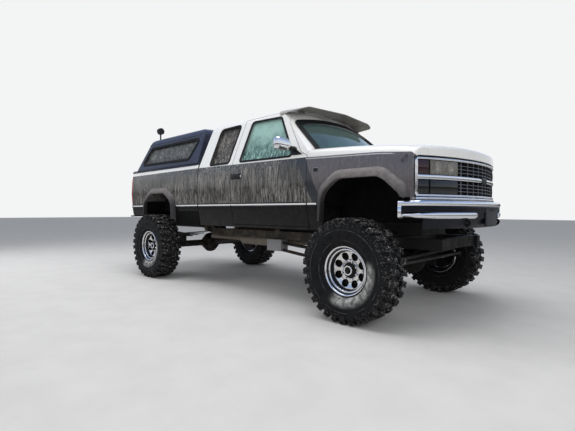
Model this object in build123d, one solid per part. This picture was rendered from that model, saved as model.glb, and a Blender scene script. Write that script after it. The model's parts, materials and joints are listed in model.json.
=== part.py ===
from build123d import *
from math import asin, cos, degrees, pi, radians, sin, sqrt, tan
import os

# Lifted four-wheel-drive pickup truck, extended cab, short bed and a topper over the bed.
# +X points forward, +Y to the driver's side (left), +Z up, and the ground is at z = 0.
# Stations along the truck are measured from the front axle, and every piece is moved
# by origin_shift when it is written, so that the origin is under the middle of the truck.

# Whole vehicle
wheelbase = 3594.0
front_overhang = 890.0
rear_overhang = 1106.0
origin_shift = (wheelbase + rear_overhang - front_overhang) / 2
rear_axle = -wheelbase

# Tyres and rims
tyre_radius = 475.0
tyre_width = 310.0
track_half = 1000.0
lug_height = 22.0
lug_count = 18
lug_long = 60.0
lug_width = 96.0
lug_flank = 40.0
tyre_sides = 18
rim_radius = 222.0
rim_wall = 14.0
rim_width = 234.0
rim_lip = 14.0
rim_seat = 8.0
disc_inset = 78.0
disc_thick = 14.0
disc_flat = 165.0
disc_holes = 8
disc_hole_radius = 25.0
disc_hole_circle = 128.0
hub_radius = 68.0
spindle_radius = 34.0
running_gap = 0.3

# Axles and steering
tube_radius = 44.0
rear_tube_radius = 50.0
diff_radius = 150.0
diff_offset = 150.0
kingpin_y = 780.0
kingpin_radius = 34.0
yoke_height = 100.0
yoke_plate = 24.0
steer_limit = 30.0
steer_arm = 300.0
drag_arm = 160.0
rod_radius = 16.0
eye_radius = 26.0
pin_radius = 9.0
arm_thick = 26.0
pitman_x = 140.0
pitman_y = 545.0
pitman_z = 624.0
joint_gap = 0.5

# Springs and links
leaf_reach = 720.0
leaf_top = 652.0
leaf_rise = 60.0
leaf_thick = 12.0
leaf_step = 13.0
coil_radius = 58.0
coil_turns = 5
shock_low = 470.0
track_bar_x = 150.0
track_bar_radius = 15.0

# Exhaust
tail_end = -3060.0
tail_tip = 200.0
tail_tip_radius = 34.0

# Frame
rail_outer = 500.0
rail_width = 80.0
rail_low = 653.0
rail_high = 755.0
rail_kick = 100.0
frame_front = 620.0
frame_rear = rear_axle - 886
drop_rear = -1606.0
drop_front = -1356.0
drop_low = 511.0

# Body width and side section
body_half = 965.0
flare_rise = 36.0
body_low = 812.0
wall = 55.0
panel = 28.0
seam = 6.0
seat_gap = 0.3

# Cab
cab_rear = -2545.0
roof_z = 2205.0
firewall_x = -430.0
cowl_x = -381.0
cowl_z = 1650.0
shield_top_x = -925.0
shield_top_z = 2103.0
shield_radius = 2800.0
shield_glass = 8.0

# Doors
door_front = -590.0
door_rear = -1825.0
door_low = 846.0
door_top = 2148.0
door_lean = 0.24
door_inboard = body_half - 297
striker_y = body_half - 30
striker_z = 1330.0
striker_radius = 7.0
hinge_back = 8.0
glass_depth = 20.0
glass_thick = 6.0

# Front clip
nose_x = 815.0
nose_radius = 1880.0
hood_half = body_half - 145
hood_low = 1472.0
hood_rear_sag = 185.0
hood_gap = 18.0
hood_pin_radius = 6.0
hood_pin_reach = 16.0
fascia_depth = 75.0
fascia_low = 1134.0
fascia_high = 1462.0
fascia_half = body_half - 40
fascia_rim = 20.0
mid_bar_low = 1277.0
mid_bar_high = 1316.0
grille_half = body_half - 493
lamp_half = body_half - 169
grille_bar = 14.0
grille_rows = 4

# Front bumper
bumper_x = 890.0
bumper_radius = 1800.0
bumper_end = 430.0
bumper_half = body_half + 3
bumper_low = 944.0
bumper_high = 1102.0
bumper_wall = 45.0
bumper_corner = 150.0
strip_low = 1003.0
strip_high = 1055.0
dam_low = 862.0

# Bed and rear end
bed_front = cab_rear - 12
bed_rear = rear_axle - 946
bed_high = 1634.0
bed_floor = 1000.0
bed_side_low = 800.0
bed_side_rear_low = 930.0
tailgate_half = body_half - 175
tailgate_low = 1046.0
tailgate_thick = 60.0
gate_pin_inset = 15.0
gate_pin_radius = 9.0
rear_bumper_low = 905.0
rear_bumper_high = 1034.0
step_thick = 12.0
ball_hole_x = 90.0
ball_hole_radius = 13.0

# Topper
topper_front = bed_front - 28
topper_top_rear = bed_rear + 430
topper_base = bed_high + seat_gap
topper_wall = 40.0
topper_rear_low = bed_rear + 40
hatch_half = body_half - 245
hatch_top = 2140.0
barrel_radius = 8.0
barrel_y = 400.0

lamp_x = topper_top_rear + 40
lamp_y = -670.0
lamp_z = 2335.0
lamp_radius = 54.0

# Visor over the windscreen
visor_tip = -862.0
visor_length = 330.0
visor_half = body_half - 203
visor_thick = 6.0
visor_gap = 8.0
visor_tilt = 3.0

z_axle = tyre_radius


def outline(corners):
    """A flat face in the XY plane from rows of u, v, corner radius."""
    points = [Vector(u, v) for u, v, _ in corners]
    count = len(points)
    stops = []
    for i in range(count):
        here = points[i]
        radius = corners[i][2]
        back = (points[i - 1] - here).normalized()
        ahead = (points[(i + 1) % count] - here).normalized()
        if radius == 0:
            stops.append((here, None, here))
            continue
        half = radians(back.get_angle(ahead)) / 2
        inward = (back + ahead).normalized()
        reach = radius / tan(half)
        middle = here + inward * (radius / sin(half) - radius)
        stops.append((here + back * reach, middle, here + ahead * reach))
    edges = []
    for i in range(count):
        start, middle, end = stops[i]
        if middle is not None:
            edges.append(ThreePointArc(start, middle, end))
        following = stops[(i + 1) % count][0]
        if (following - end).length > 0.001:
            edges.append(Line(end, following))
    return make_face(edges)


def side_slab(corners, y_low, y_high):
    """An outline seen from the side (x, z) carried across the truck."""
    return extrude(Plane.XZ.offset(-y_high) * outline(corners), y_high - y_low)


def front_slab(corners, x_low, x_high):
    """An outline seen from the front (y, z) carried along the truck."""
    return extrude(Plane.YZ.offset(x_low) * outline(corners), x_high - x_low)


def plan_slab(corners, z_low, z_high):
    """An outline seen from above (x, y) carried upwards."""
    return extrude(Plane.XY.offset(z_low) * outline(corners), z_high - z_low)


def block(x_low, x_high, y_low, y_high, z_low, z_high):
    size = (x_high - x_low, y_high - y_low, z_high - z_low)
    centre = ((x_low + x_high) / 2, (y_low + y_high) / 2, (z_low + z_high) / 2)
    return Pos(*centre) * Box(*size)


def rod(start, end, radius):
    """A round bar between two points."""
    a = Vector(*start)
    b = Vector(*end)
    plane = Plane(origin=a, z_dir=(b - a).normalized())
    return extrude(plane * Circle(radius), (b - a).length)


def across(x, y_low, y_high, z, radius):
    return rod((x, y_low, z), (x, y_high, z), radius)


def upright(x, y, z_low, z_high, radius):
    return rod((x, y, z_low), (x, y, z_high), radius)


def both_sides(shape):
    """The shape and its mirror image on the other side of the truck."""
    return Compound(children=[*shape.solids(), *mirror(shape, about=Plane.XZ).solids()])


def round_post(x_centre, radius, z_low, z_high):
    """A tall drum whose wall gives the plan curve of the nose."""
    return upright(x_centre, 0, z_low, z_high, radius)


# Section of the cab and of the bed, seen from the front: y, z, radius for one side.
def mirrored_section(half_rows):
    left = [(y, z, r) for y, z, r in half_rows]
    right = [(-y, z, r) for y, z, r in reversed(half_rows) if y > 0]
    return left + right


def cab_section(inset):
    side_lean = inset * 1.04
    return mirrored_section([
        (body_half - 60 - inset, body_low + inset, 0),
        (body_half - 20 - inset, 1030, 500),
        (body_half - inset, 1290, 500),
        (body_half - 10 - inset, 1500, 300),
        (body_half - 35 - side_lean, 1606, 60),
        (body_half - 230 - side_lean, 2150 - inset * 0.5, max(85 - inset, 20)),
        (body_half - 365 - inset, roof_z - 12 - inset, 200),
        (0, roof_z - inset, 0),
    ])


def shield_frame():
    """Unit vectors up the windscreen and out of it, in the side view."""
    run = Vector(shield_top_x - cowl_x, 0, shield_top_z - cowl_z)
    up = run.normalized()
    out = Vector(up.Z, 0, -up.X)
    return up, out


def shield_drum(depth):
    """The drum whose wall is the windscreen's curved surface, sunk by depth."""
    up, out = shield_frame()
    axis_point = Vector(cowl_x, 0, cowl_z) - out * shield_radius
    start = axis_point - up * 2600
    end = axis_point + up * 2600
    return rod(tuple(start), tuple(end), shield_radius - depth)


def cab_side(inset):
    top_slope = (shield_top_x - cowl_x) / (shield_top_z - cowl_z)
    roof_front = cowl_x + top_slope * (roof_z - 42 - cowl_z)
    low = body_low + inset
    return [
        (cab_rear + inset, low, 0),
        (cab_rear + inset, 1600, 200),
        (cab_rear + 72 + inset, roof_z - 45 - inset, max(90 - inset, 20)),
        (-2100, roof_z - inset, 900),
        (-1400, roof_z - inset, 900),
        (roof_front - inset * 0.9, roof_z - 42 - inset * 0.55, max(80 - inset, 20)),
        (cowl_x - inset * 1.2, cowl_z - 10 - inset * 0.2, 0),
        (firewall_x - inset, cowl_z - 60, 0),
        (firewall_x - inset, 1150, 150),
        (firewall_x - 110 - inset, 900, 60),
        (firewall_x - 110 - inset, low, 0),
    ]


def cab_solid(inset):
    long_body = side_slab(cab_side(inset), -body_half, body_half)
    section = front_slab(cab_section(inset), cab_rear, 0)
    return long_body & section & shield_drum(inset)


def shield_opening(margin):
    """The windscreen opening, carried through the cab's front wall."""
    up, out = shield_frame()
    plane = Plane(origin=Vector(cowl_x, 0, cowl_z) + out * 60, x_dir=(0, 1, 0), z_dir=out * -1)
    sign = 1 if (plane.y_dir.Z > 0) else -1
    low = 70 + margin
    high = 650 - margin
    half_low = body_half - 165 - margin
    half_high = body_half - 275 - margin
    rows = [(-half_low, sign * low, 60), (half_low, sign * low, 60),
            (half_high, sign * high, 60), (-half_high, sign * high, 60)]
    return extrude(plane * outline(rows), 330)


def door_window(margin):
    return [
        (-1691 + margin, 1603 + margin, 30),
        (-797 - margin, 1592 + margin, 30),
        (-1140 - margin, 2088 - margin, 60),
        (-1640 + margin, 2104 - margin, 40),
    ]


def quarter_window(margin):
    return [
        (cab_rear + 245 + margin, 1606 + margin, 30),
        (door_rear - 77 - margin, 1606 + margin, 30),
        (door_rear - 31 - margin, 2098 - margin, 40),
        (cab_rear + 283 + margin, 2092 - margin, 60),
    ]


def rear_window(margin):
    return [(-560 + margin, 1640 + margin, 50), (560 - margin, 1640 + margin, 50),
            (520 - margin, 2040 - margin, 60), (-520 + margin, 2040 - margin, 60)]


def door_outline(grow):
    """Side view of the door leaf; the sloping top of its front edge follows the pillar."""
    rows = [
        (door_rear - 200, door_low - grow, 0),
        (door_front - seam / 2 + grow, door_low - grow, 20),
        (door_front - seam / 2 + grow, 1575, 40),
        (-700 + grow, 1625 + grow, 30),
        (-1098 + grow, door_top + grow, 70),
        (door_rear - 200, door_top + grow, 0),
    ]
    return side_slab(rows, 0, body_half + 10)


def door_rear_cut(back):
    """Plan wedge ahead of the door's rear seam, which leans forward inboard."""
    inboard = door_inboard - back
    start = door_rear - back
    lean = door_lean * (body_half - inboard)
    over = 40
    rows = [(start - door_lean * over, body_half + over, 0), (0, body_half + over, 0),
            (0, inboard, 0), (start + lean, inboard, 0)]
    return plan_slab(rows, 700, 2300)


def door_space(grow):
    return door_outline(grow) & door_rear_cut(grow)


def cab_skin():
    return cab_solid(0) - cab_solid(wall)


def striker_pin():
    """Latch pin of the left door, standing forward from the post behind it."""
    return rod((door_rear - 25, striker_y, striker_z), (door_rear + 30, striker_y, striker_z), striker_radius)


def latch_slot():
    """Slot in the door's rear edge, open inboard, that takes the striker pin."""
    half = striker_radius + seat_gap
    outer = striker_y + half
    low = striker_z - half
    return block(door_rear - 20, door_rear + 40, striker_y - 60, outer, low, low + 2 * half)


def fender_relief():
    """Room for the front fenders' rear ends outside the cab's hinge pillars."""
    start = door_front - seam / 2
    ring = block(start, 0, -body_half - 5, body_half + 5, 600, 2400)
    core = front_slab(cab_section(panel + seat_gap), start - 10, 10)
    corner = block(start, 0, hood_half - seam, body_half + 5, 1540, 1800)
    shoulder = block(start, 0, body_half - 85, body_half + 5, 1440, 1800)
    relief = (ring - core) + both_sides(corner + shoulder)
    return relief + (hood_space(hood_gap) & block(-700, 0, -body_half, body_half, 1585, 1800))


def make_cab():
    skin = cab_skin()
    opening = door_space(seam)
    skin = skin - opening - mirror(opening, about=Plane.XZ)
    skin = skin - side_slab(quarter_window(0), -body_half, body_half)
    skin = skin - front_slab(rear_window(0), cab_rear - 30, cab_rear + 250)
    skin = skin - shield_opening(0) + both_sides(striker_pin())
    return skin - fender_relief()


def make_cab_glass():
    layer = shield_drum(18) - shield_drum(18 + shield_glass)
    screen = layer & shield_opening(seat_gap)
    section = front_slab(cab_section(glass_depth), cab_rear, 0)
    section = section - front_slab(cab_section(glass_depth + glass_thick), cab_rear, 0)
    quarter = section & side_slab(quarter_window(seat_gap), -body_half, body_half)
    behind = cab_side(glass_depth + glass_thick)
    layer = side_slab(cab_side(glass_depth), -700, 700) - side_slab(behind, -700, 700)
    rear = layer & front_slab(rear_window(seat_gap), cab_rear - 30, cab_rear + 250)
    return Compound(children=[*screen.solids(), *quarter.solids(), *rear.solids()])


def make_door():
    leaf = cab_skin() & door_space(0)
    leaf = leaf - side_slab(door_window(0), 0, body_half + 10) - latch_slot()
    handle = block(-1795, -1660, body_half - 30, body_half + 14, 1402, 1440)
    return leaf + fillet(handle.edges().filter_by(Axis.X), 8)


def make_door_glass():
    section = front_slab(cab_section(glass_depth), cab_rear, 0)
    section = section - front_slab(cab_section(glass_depth + glass_thick), cab_rear, 0)
    return section & side_slab(door_window(seat_gap), 0, body_half)


def make_mirror():
    head = block(-850, -760, body_half + 20, body_half + 230, 1635, 1735)
    head = fillet(head.edges().filter_by(Axis.X), 30)
    foot = block(-835, -700, body_half - 85, body_half + 35, 1642, 1690)
    foot = foot - front_slab(cab_section(-seat_gap), -900, -600)
    return head + foot


# Sections of the front clip at four stations, half of each as inset from body_half, z.
clip_sections = [
    (-640, [(60, 812), (20, 1030), (0, 1290), (10, 1500), (35, 1606), (85, 1645), (body_half, 1672)]),
    (0, [(60, 812), (20, 1030), (0, 1270), (8, 1470), (40, 1582), (105, 1618), (body_half, 1668)]),
    (520, [(65, 812), (25, 1030), (3, 1250), (13, 1430), (50, 1530), (115, 1566), (body_half, 1628)]),
    (900, [(75, 812), (33, 1030), (13, 1220), (25, 1380), (60, 1458), (125, 1494), (body_half, 1528)]),
]


def clip_loft(inset):
    faces = []
    for x, half in clip_sections:
        rows = []
        for index, (back, z) in enumerate(half):
            drop = inset if index > 3 else 0
            y_in = max(body_half - back - inset, 0)
            rows.append((y_in, z - drop if index else z - 20 * (inset > 0), 0))
        faces.append(Plane.YZ.offset(x) * outline(mirrored_section(rows)))
    return loft(faces, ruled=True)


def nose_drum(depth):
    return round_post(nose_x - nose_radius, nose_radius - depth, 600, 1900)


def clip_shell():
    outer = clip_loft(0) & nose_drum(0)
    inner = clip_loft(panel) & nose_drum(panel)
    return outer - inner


def hood_plan(side_gap):
    """Plan outline of the hood; its rear edge bows forward as the windscreen does."""
    half = hood_half - side_gap
    rear = cowl_x + 22 - hood_rear_sag
    return (rear, half)


def hood_space(grow):
    rear, half = hood_plan(-grow)
    bow = (half ** 2 + hood_rear_sag ** 2) / (2 * hood_rear_sag)
    centre = cowl_x + 22 - bow - grow
    slab = block(rear - 100, nose_x + 50, -half, half, 1300, 1900)
    slab = slab - upright(centre, 0, 1200, 2000, bow)
    return slab & block(-2000, 2000, -2000, 2000, hood_low - grow, 2000)


def hood_pin(grow):
    """Hinge pins at the hood's rear corners, half a panel under the skin."""
    x = cowl_x + 22 - hood_rear_sag + panel / 2
    z = 1646.5 - panel / 2
    pin = across(x, hood_half - 14, hood_half + hood_pin_reach + grow, z, hood_pin_radius + grow)
    return both_sides(pin)


def make_hood():
    return (clip_shell() & hood_space(0)) + hood_pin(0)


def front_arch(grow):
    """Side view of the front wheel opening: x, z, radius."""
    return [
        (-395 - grow, 700, 0), (-372 - grow, 1180, 190), (-200, 1316 + grow, 210),
        (270, 1316 + grow, 210), (470 + grow, 1140, 120), (505 + grow, 700, 0),
    ]


def rear_arch(grow):
    return [
        (-435 - grow, 640, 0), (-405 - grow, 1130, 150), (-215 - grow * 0.5, 1272 + grow, 200),
        (215 + grow * 0.5, 1272 + grow, 200), (405 + grow, 1130, 150), (435 + grow, 640, 0),
    ]


def turned_tyre_space():
    """Room that the left front tyre sweeps when it is steered all the way either way."""
    half = tyre_width / 2 + seam
    top = tyre_radius + seam
    profile = outline([(0, -half, 0), (top - 70, -half, 0), (top, -half + 14, 0),
                       (top, half - 14, 0), (top - 70, half, 0), (0, half, 0)])
    drum = Pos(0, track_half - kingpin_y, 0) * revolve(profile, Axis.Y)
    # The tread's outer edge stays on a ball about the kingpin as the wheel turns.
    corner = sqrt(top ** 2 + (track_half + half - 14 - kingpin_y) ** 2)
    space = Sphere(corner) & block(-corner, 0, body_half - 35 - kingpin_y, corner, 0, corner)
    for angle in (-steer_limit, steer_limit):
        space = space + Rot(0, 0, angle) * drum
    return Pos(0, kingpin_y, z_axle) * space


def shifted(rows, dx):
    return [(x + dx, z, r) for x, z, r in rows]


def make_fenders():
    start = door_front + seam / 2
    shell = clip_shell() & block(start, nose_x + 50, hood_half + seam, body_half + 5, body_low, 1900)
    shell = shell - side_slab(front_arch(0), 0, body_half + 10)
    fascia_room = block(0, 900, 0, 1100, fascia_low - 12, fascia_high + 6)
    shell = shell - (fascia_room - nose_drum(fascia_depth + seat_gap))
    shell = shell - block(300, 900, 0, body_half + 100, 600, 1108) - turned_tyre_space()
    return both_sides(shell) - hood_pin(running_gap)


def raised(rows, rise):
    """Outline rows moved up, so that a band over an arch is widest at its top."""
    return [(row[0], row[1] + rise, *row[2:]) for row in rows]


def make_flares():
    near, far = body_half - 25, body_half + 39
    front_rows = raised(front_arch(62), flare_rise)
    front = side_slab(front_rows, near, far) - side_slab(front_arch(0), near - 10, far + 10)
    front = front & block(-470, 600, near - 10, far + 10, 870, 1500)
    front = front - block(0, 700, 900, 1100, 800, fascia_low - 16)
    front = front - clip_loft(0) - turned_tyre_space()
    rear_rows = raised(shifted(rear_arch(55), rear_axle), flare_rise)
    opening = side_slab(shifted(rear_arch(0), rear_axle), near - 10, far + 10)
    rear = side_slab(rear_rows, near, far) - opening
    rear = rear & block(rear_axle - 520, rear_axle + 520, near - 10, far + 10, 880, 1500)
    rear = rear - bed_outer()
    return Compound(children=[*both_sides(front).solids(), *both_sides(rear).solids()])


def make_bay_panels():
    """Wheelhouse liners of the engine bay and the radiator panel between them."""
    lip = 6
    back = firewall_x + seat_gap
    outer = body_half - 35
    cover = side_slab(front_arch(30), 560, outer) - side_slab(front_arch(30 - lip), 550, outer + 10)
    wall_in = block(back, 470, 554, 560, 900, 1520)
    liner = cover & block(back, 620, 500, body_half, 1100, 1500) & nose_drum(fascia_depth + seam)
    liner = (liner + wall_in) & clip_loft(panel + seat_gap)
    liner = liner - turned_tyre_space()
    panel_x = 470
    radiator = block(panel_x, panel_x + 60, -560, 560, 900, 1440)
    return Compound(children=[*both_sides(liner).solids(), *radiator.solids()])


def fascia_ring(depth, thick):
    return nose_drum(depth) - nose_drum(depth + thick)


def make_grille():
    frame = fascia_ring(0, fascia_depth) & block(0, 900, -fascia_half, fascia_half, fascia_low, fascia_high)
    rows = [(fascia_low + fascia_rim, mid_bar_low), (mid_bar_high, fascia_high - fascia_rim)]
    for low, high in rows:
        frame = frame - block(0, 950, -fascia_half + fascia_rim, fascia_half - fascia_rim, low, high)
    for low, high in rows:
        for side in (-1, 1):
            post = block(0, 900, side * grille_half - 8, side * grille_half + 8, low - 4, high + 4)
            frame = frame + (post & fascia_ring(12, 50))
        pitch = (high - low) / grille_rows
        for i in range(1, grille_rows):
            z = low + pitch * i
            bar = block(0, 900, -grille_half, grille_half, z - grille_bar / 2, z + grille_bar / 2)
            frame = frame + (bar & fascia_ring(16, 26))
        for i in range(-4, 5):
            post = block(0, 900, i * 95 - 5, i * 95 + 5, low - 4, high + 4)
            frame = frame + (post & fascia_ring(30, 22))
    return frame


def make_headlamps():
    rows = [(fascia_low + fascia_rim, mid_bar_low), (mid_bar_high, fascia_high - fascia_rim)]
    pieces = []
    for low, high in rows:
        for y_low, y_high in [(grille_half + 8, lamp_half - 2), (lamp_half + 2, fascia_half - fascia_rim)]:
            cell = block(0, 900, y_low + seat_gap, y_high - seat_gap, low + seat_gap, high - seat_gap)
            lens = cell & fascia_ring(10, 50)
            pieces.extend(both_sides(lens).solids())
    return Compound(children=pieces)


def bumper_form(depth):
    form = block(bumper_end - 1, 1000, -bumper_half + depth, bumper_half - depth, 700, 1300)
    form = form & round_post(bumper_x - bumper_radius, bumper_radius - depth, 600, 1400)
    corners = [e for e in form.edges().filter_by(Axis.Z) if e.center().X > bumper_end + 50]
    return fillet(corners, bumper_corner - depth)


def bumper_ring(depth, thick, z_low, z_high):
    ring = bumper_form(depth) - bumper_form(depth + thick)
    return ring & block(bumper_end, 1000, -1100, 1100, z_low, z_high)


def make_bumper():
    shell = bumper_ring(0, bumper_wall, bumper_low, bumper_high)
    shell = shell - bumper_ring(-20, 32, strip_low, strip_high)
    bracket = block(frame_front - 60, bumper_x - 70, rail_outer - rail_width, rail_outer, 960, 1060)
    bracket = bracket & bumper_form(bumper_wall - 5)
    foot = rail_high + seat_gap
    stem = block(frame_front - 60, frame_front - 10, rail_outer - rail_width, rail_outer, foot, 1060)
    arm = bracket + stem
    return shell + arm + mirror(arm, about=Plane.XZ)


def make_bumper_trim():
    strip = bumper_ring(0, 12 - seat_gap, strip_low + seat_gap, strip_high - seat_gap)
    dam = bumper_ring(26, 18, dam_low, bumper_low - seat_gap)
    dam = dam & block(bumper_end + 60, 1000, -bumper_half + 28, bumper_half - 28, 0, 2000)
    return Compound(children=[*strip.solids(), *dam.solids()])


def bed_outer():
    section = mirrored_section([
        (body_half - 60, bed_side_low, 0), (body_half - 20, 1030, 500), (body_half, 1290, 500),
        (body_half - 10, 1500, 300), (body_half - 33, bed_high, 0),
    ])
    rows = [
        (bed_front, bed_side_low, 0), (bed_front, bed_high, 0), (bed_rear, bed_high, 0),
        (bed_rear, bed_side_rear_low, 0), (rear_axle - 400, bed_side_rear_low, 0),
        (rear_axle - 400, bed_side_low, 0),
    ]
    form = front_slab(section, bed_rear, bed_front) & side_slab(rows, -body_half, body_half)
    corners = [e for e in form.edges() if e.center().X < bed_rear + 1]
    corners = [e for e in corners if abs(e.center().Y) > body_half - 85]
    corners = [e for e in corners if e.bounding_box().size.Z > 100]
    return fillet(corners, 40)


def lamp_space(grow):
    """Corner pocket of one tail lamp, wrapping the bed's rear edge."""
    low, high = 1135 - grow, 1570 + grow
    corner = block(bed_rear - 10, bed_rear + 62 + grow, tailgate_half + 22 - grow, body_half + 10, low, high)
    return corner - block(bed_rear + 34 + grow, 0, 0, body_half - 45 - grow, low - 1, high + 1)


def gate_pin(grow):
    """Trunnions at the tailgate's lower corners."""
    x = bed_rear + gate_pin_inset
    z = tailgate_low + gate_pin_inset
    end = tailgate_half + seam + 14 + grow
    return both_sides(across(x, tailgate_half - 20, end, z, gate_pin_radius + grow))


def make_bed():
    inner_half = body_half - wall - 20
    form = bed_outer()
    post = bed_rear + tailgate_thick + seam
    hollow = block(post, bed_front - 40, -inner_half, inner_half, bed_floor + 30, 1700)
    under = block(bed_rear - 20, bed_front - 40, -inner_half, inner_half, 600, bed_floor)
    gate_side = tailgate_half + seam
    gate = block(bed_rear - 20, post + 4, -gate_side, gate_side, tailgate_low - seam, 1700)
    form = form - hollow - under
    house = side_slab(shifted(rear_arch(18), rear_axle), 640, inner_half + 5)
    house = house & block(-5000, 0, 0, 1000, bed_floor, 1400)
    void = side_slab(shifted(rear_arch(0), rear_axle), 652, body_half + 20)
    form = form + house + mirror(house, about=Plane.XZ)
    form = form - void - mirror(void, about=Plane.XZ) - gate
    form = form - both_sides(lamp_space(0)) - gate_pin(running_gap)
    for x in (bed_front - 93, rear_axle + 444, rear_axle - 506, rear_axle - 806):
        low = rail_high + (rail_kick if x < rear_axle + 500 else 0)
        form = form + block(x - 40, x + 40, -inner_half - 5, inner_half + 5, bed_floor - 60, bed_floor)
        foot = block(x - 40, x + 40, rail_outer - rail_width, rail_outer, low, bed_floor - 50)
        form = form + foot + mirror(foot, about=Plane.XZ)
    return form


def make_tail_lamps():
    return both_sides(lamp_space(-seat_gap) & bed_outer())


def make_tailgate():
    rear, front = bed_rear, bed_rear + tailgate_thick
    high = bed_high - 8
    rows = [
        (rear, tailgate_low, gate_pin_inset), (front, tailgate_low, 0),
        (front, high, 10), (rear, high, 10),
    ]
    gate = side_slab(rows, -tailgate_half, tailgate_half) + gate_pin(0)
    recess = block(bed_rear - 5, bed_rear + 8, -560, 560, 1180, 1420)
    cup = block(bed_rear - 5, bed_rear + 30, -70, 70, 1460, 1520)
    return gate - recess - cup


def make_rear_bumper():
    x_end = -wheelbase - rear_overhang
    front = bed_rear + 30
    half = body_half - 15
    rows = [
        (x_end, -half + 190, 60), (x_end, half - 190, 60), (x_end + 130, half, 0), (front, half, 0),
        (front, half - 20, 0), (x_end + 120, half - 50, 0), (x_end + 70, half - 210, 0),
        (x_end + 70, -half + 210, 0), (x_end + 120, -half + 50, 0), (front, -half + 20, 0),
        (front, -half, 0), (x_end + 130, -half, 0),
    ]
    bar = plan_slab(rows, rear_bumper_low, rear_bumper_high)
    bar = bar - block(x_end + 60, front + 10, -1000, 1000, bed_side_rear_low - 5, 1100)
    step_low = rear_bumper_high - step_thick
    step = block(x_end + 1, x_end + 110, -700, 700, step_low, rear_bumper_high)
    step = step - upright(x_end + ball_hole_x, 0, step_low - 5, rear_bumper_high + 5, ball_hole_radius)
    foot = rail_low + rail_kick + 30
    arm = block(x_end + 60, frame_rear - seat_gap, rail_outer - rail_width, rail_outer, foot, 925)
    return bar + step + arm + mirror(arm, about=Plane.XZ)


def topper_section(inset):
    return mirrored_section([
        (body_half - 35 - inset, topper_base, 0),
        (body_half - 47 - inset, 1700, 200),
        (body_half - 205 - inset * 1.05, 2180 - inset * 0.5, max(130 - inset, 30)),
        (0, 2272 - inset, 0),
    ])


def topper_side(inset):
    low = topper_base
    return [
        (topper_front - inset, low, 0),
        (topper_front - 20 - inset, 2130 - inset, max(120 - inset, 30)),
        (topper_front - 365, 2262 - inset, 500),
        (topper_top_rear + 210, 2262 - inset, 600),
        (topper_top_rear + inset * 1.1, 2240 - inset, max(90 - inset, 30)),
        (topper_rear_low + 110 + inset * 1.1, 1640, 0),
        (topper_rear_low + 110 + inset * 1.1, low, 0),
    ]


def topper_solid(inset):
    long_body = side_slab(topper_side(inset), -body_half, body_half)
    return long_body & front_slab(topper_section(inset), bed_rear - 160, topper_front + 85)


def topper_window(margin):
    rear, front = topper_top_rear - 125, topper_front - 265
    return [(rear + margin, 1755 + margin, 50), (front - margin, 1735 + margin, 50),
            (front + 150 - margin, 2030 - margin, 60), (rear + 150 + margin, 2030 - margin, 60)]


def hatch_rows(grow):
    low = topper_base + 12 - grow
    high = hatch_top + grow
    return [(-hatch_half - grow, low, 20), (hatch_half + grow, low, 20),
            (hatch_half - 90 + grow, high, 60), (-hatch_half + 90 - grow, high, 60)]


def hatch_zone(grow):
    return front_slab(hatch_rows(grow), bed_rear - 160, topper_top_rear + 60)


def front_pane(margin):
    return [(-600 + margin, 1700 + margin, 30), (600 - margin, 1700 + margin, 30),
            (560 - margin, 2010 - margin, 40), (-560 + margin, 2010 - margin, 40)]


def make_topper():
    skin = topper_solid(0) - topper_solid(topper_wall)
    skin = skin - side_slab(topper_window(0), -body_half, body_half)
    skin = skin - front_slab(front_pane(0), topper_front - 165, topper_front + 85)
    skin = skin - hatch_zone(seam)
    x, z = hatch_axis()
    for low, high in ((-40, -20 - running_gap), (20 + running_gap, 40)):
        for barrel in hatch_barrels(low, high, 0):
            skin = skin + barrel
        for y in (-barrel_y, barrel_y):
            ear = block(x - 2, x + 40, y + low, y + high, z, z + 24)
            skin = skin + (ear - topper_solid(1))
    return skin


def hatch_axis():
    """Centre of the hatch's hinge barrels, just proud of the sloping rear wall."""
    slope = (topper_rear_low + 110 - topper_top_rear) / (1640 - 2240)
    z = hatch_top
    x = topper_top_rear + (z - 2240) * slope
    return x - barrel_radius + 1, z


def hatch_barrels(low, high, grow):
    x, z = hatch_axis()
    return [across(x, y + low, y + high, z, barrel_radius + grow) for y in (-barrel_y, barrel_y)]


def make_hatch():
    skin = topper_solid(0) - topper_solid(topper_wall)
    leaf = skin & hatch_zone(0)
    x, z = hatch_axis()
    for room in hatch_barrels(-45, 45, seam):
        leaf = leaf - room
    for barrel in hatch_barrels(-20, 20, 0):
        leaf = leaf + barrel
    for y in (-barrel_y, barrel_y):
        strap = block(x - barrel_radius, x + 20, y - 20, y + 20, z - 30, z)
        leaf = leaf + (strap - topper_solid(seat_gap))
    return leaf


def make_topper_glass():
    layer = topper_solid(glass_depth) - topper_solid(glass_depth + glass_thick)
    rear, fore = topper_top_rear - 190, topper_front - 75
    inner = body_half - 265
    reach = block(rear, fore, -1100, 1100, 1500, 2100) - block(rear, fore, -inner, inner, 1500, 2100)
    sides = layer & side_slab(topper_window(seat_gap), -1100, 1100) & reach
    front = layer & front_slab(front_pane(seat_gap), topper_front - 165, topper_front + 85)
    return Compound(children=[*sides.solids(), *front.solids()])


def make_roof_lamp():
    x, y = lamp_x, lamp_y
    stem = upright(x, y, topper_base + 500, lamp_z - 20, 12) - topper_solid(-seat_gap)
    lamp = rod((x - 28, y, lamp_z), (x + 28, y, lamp_z), lamp_radius)
    return stem + lamp


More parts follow.
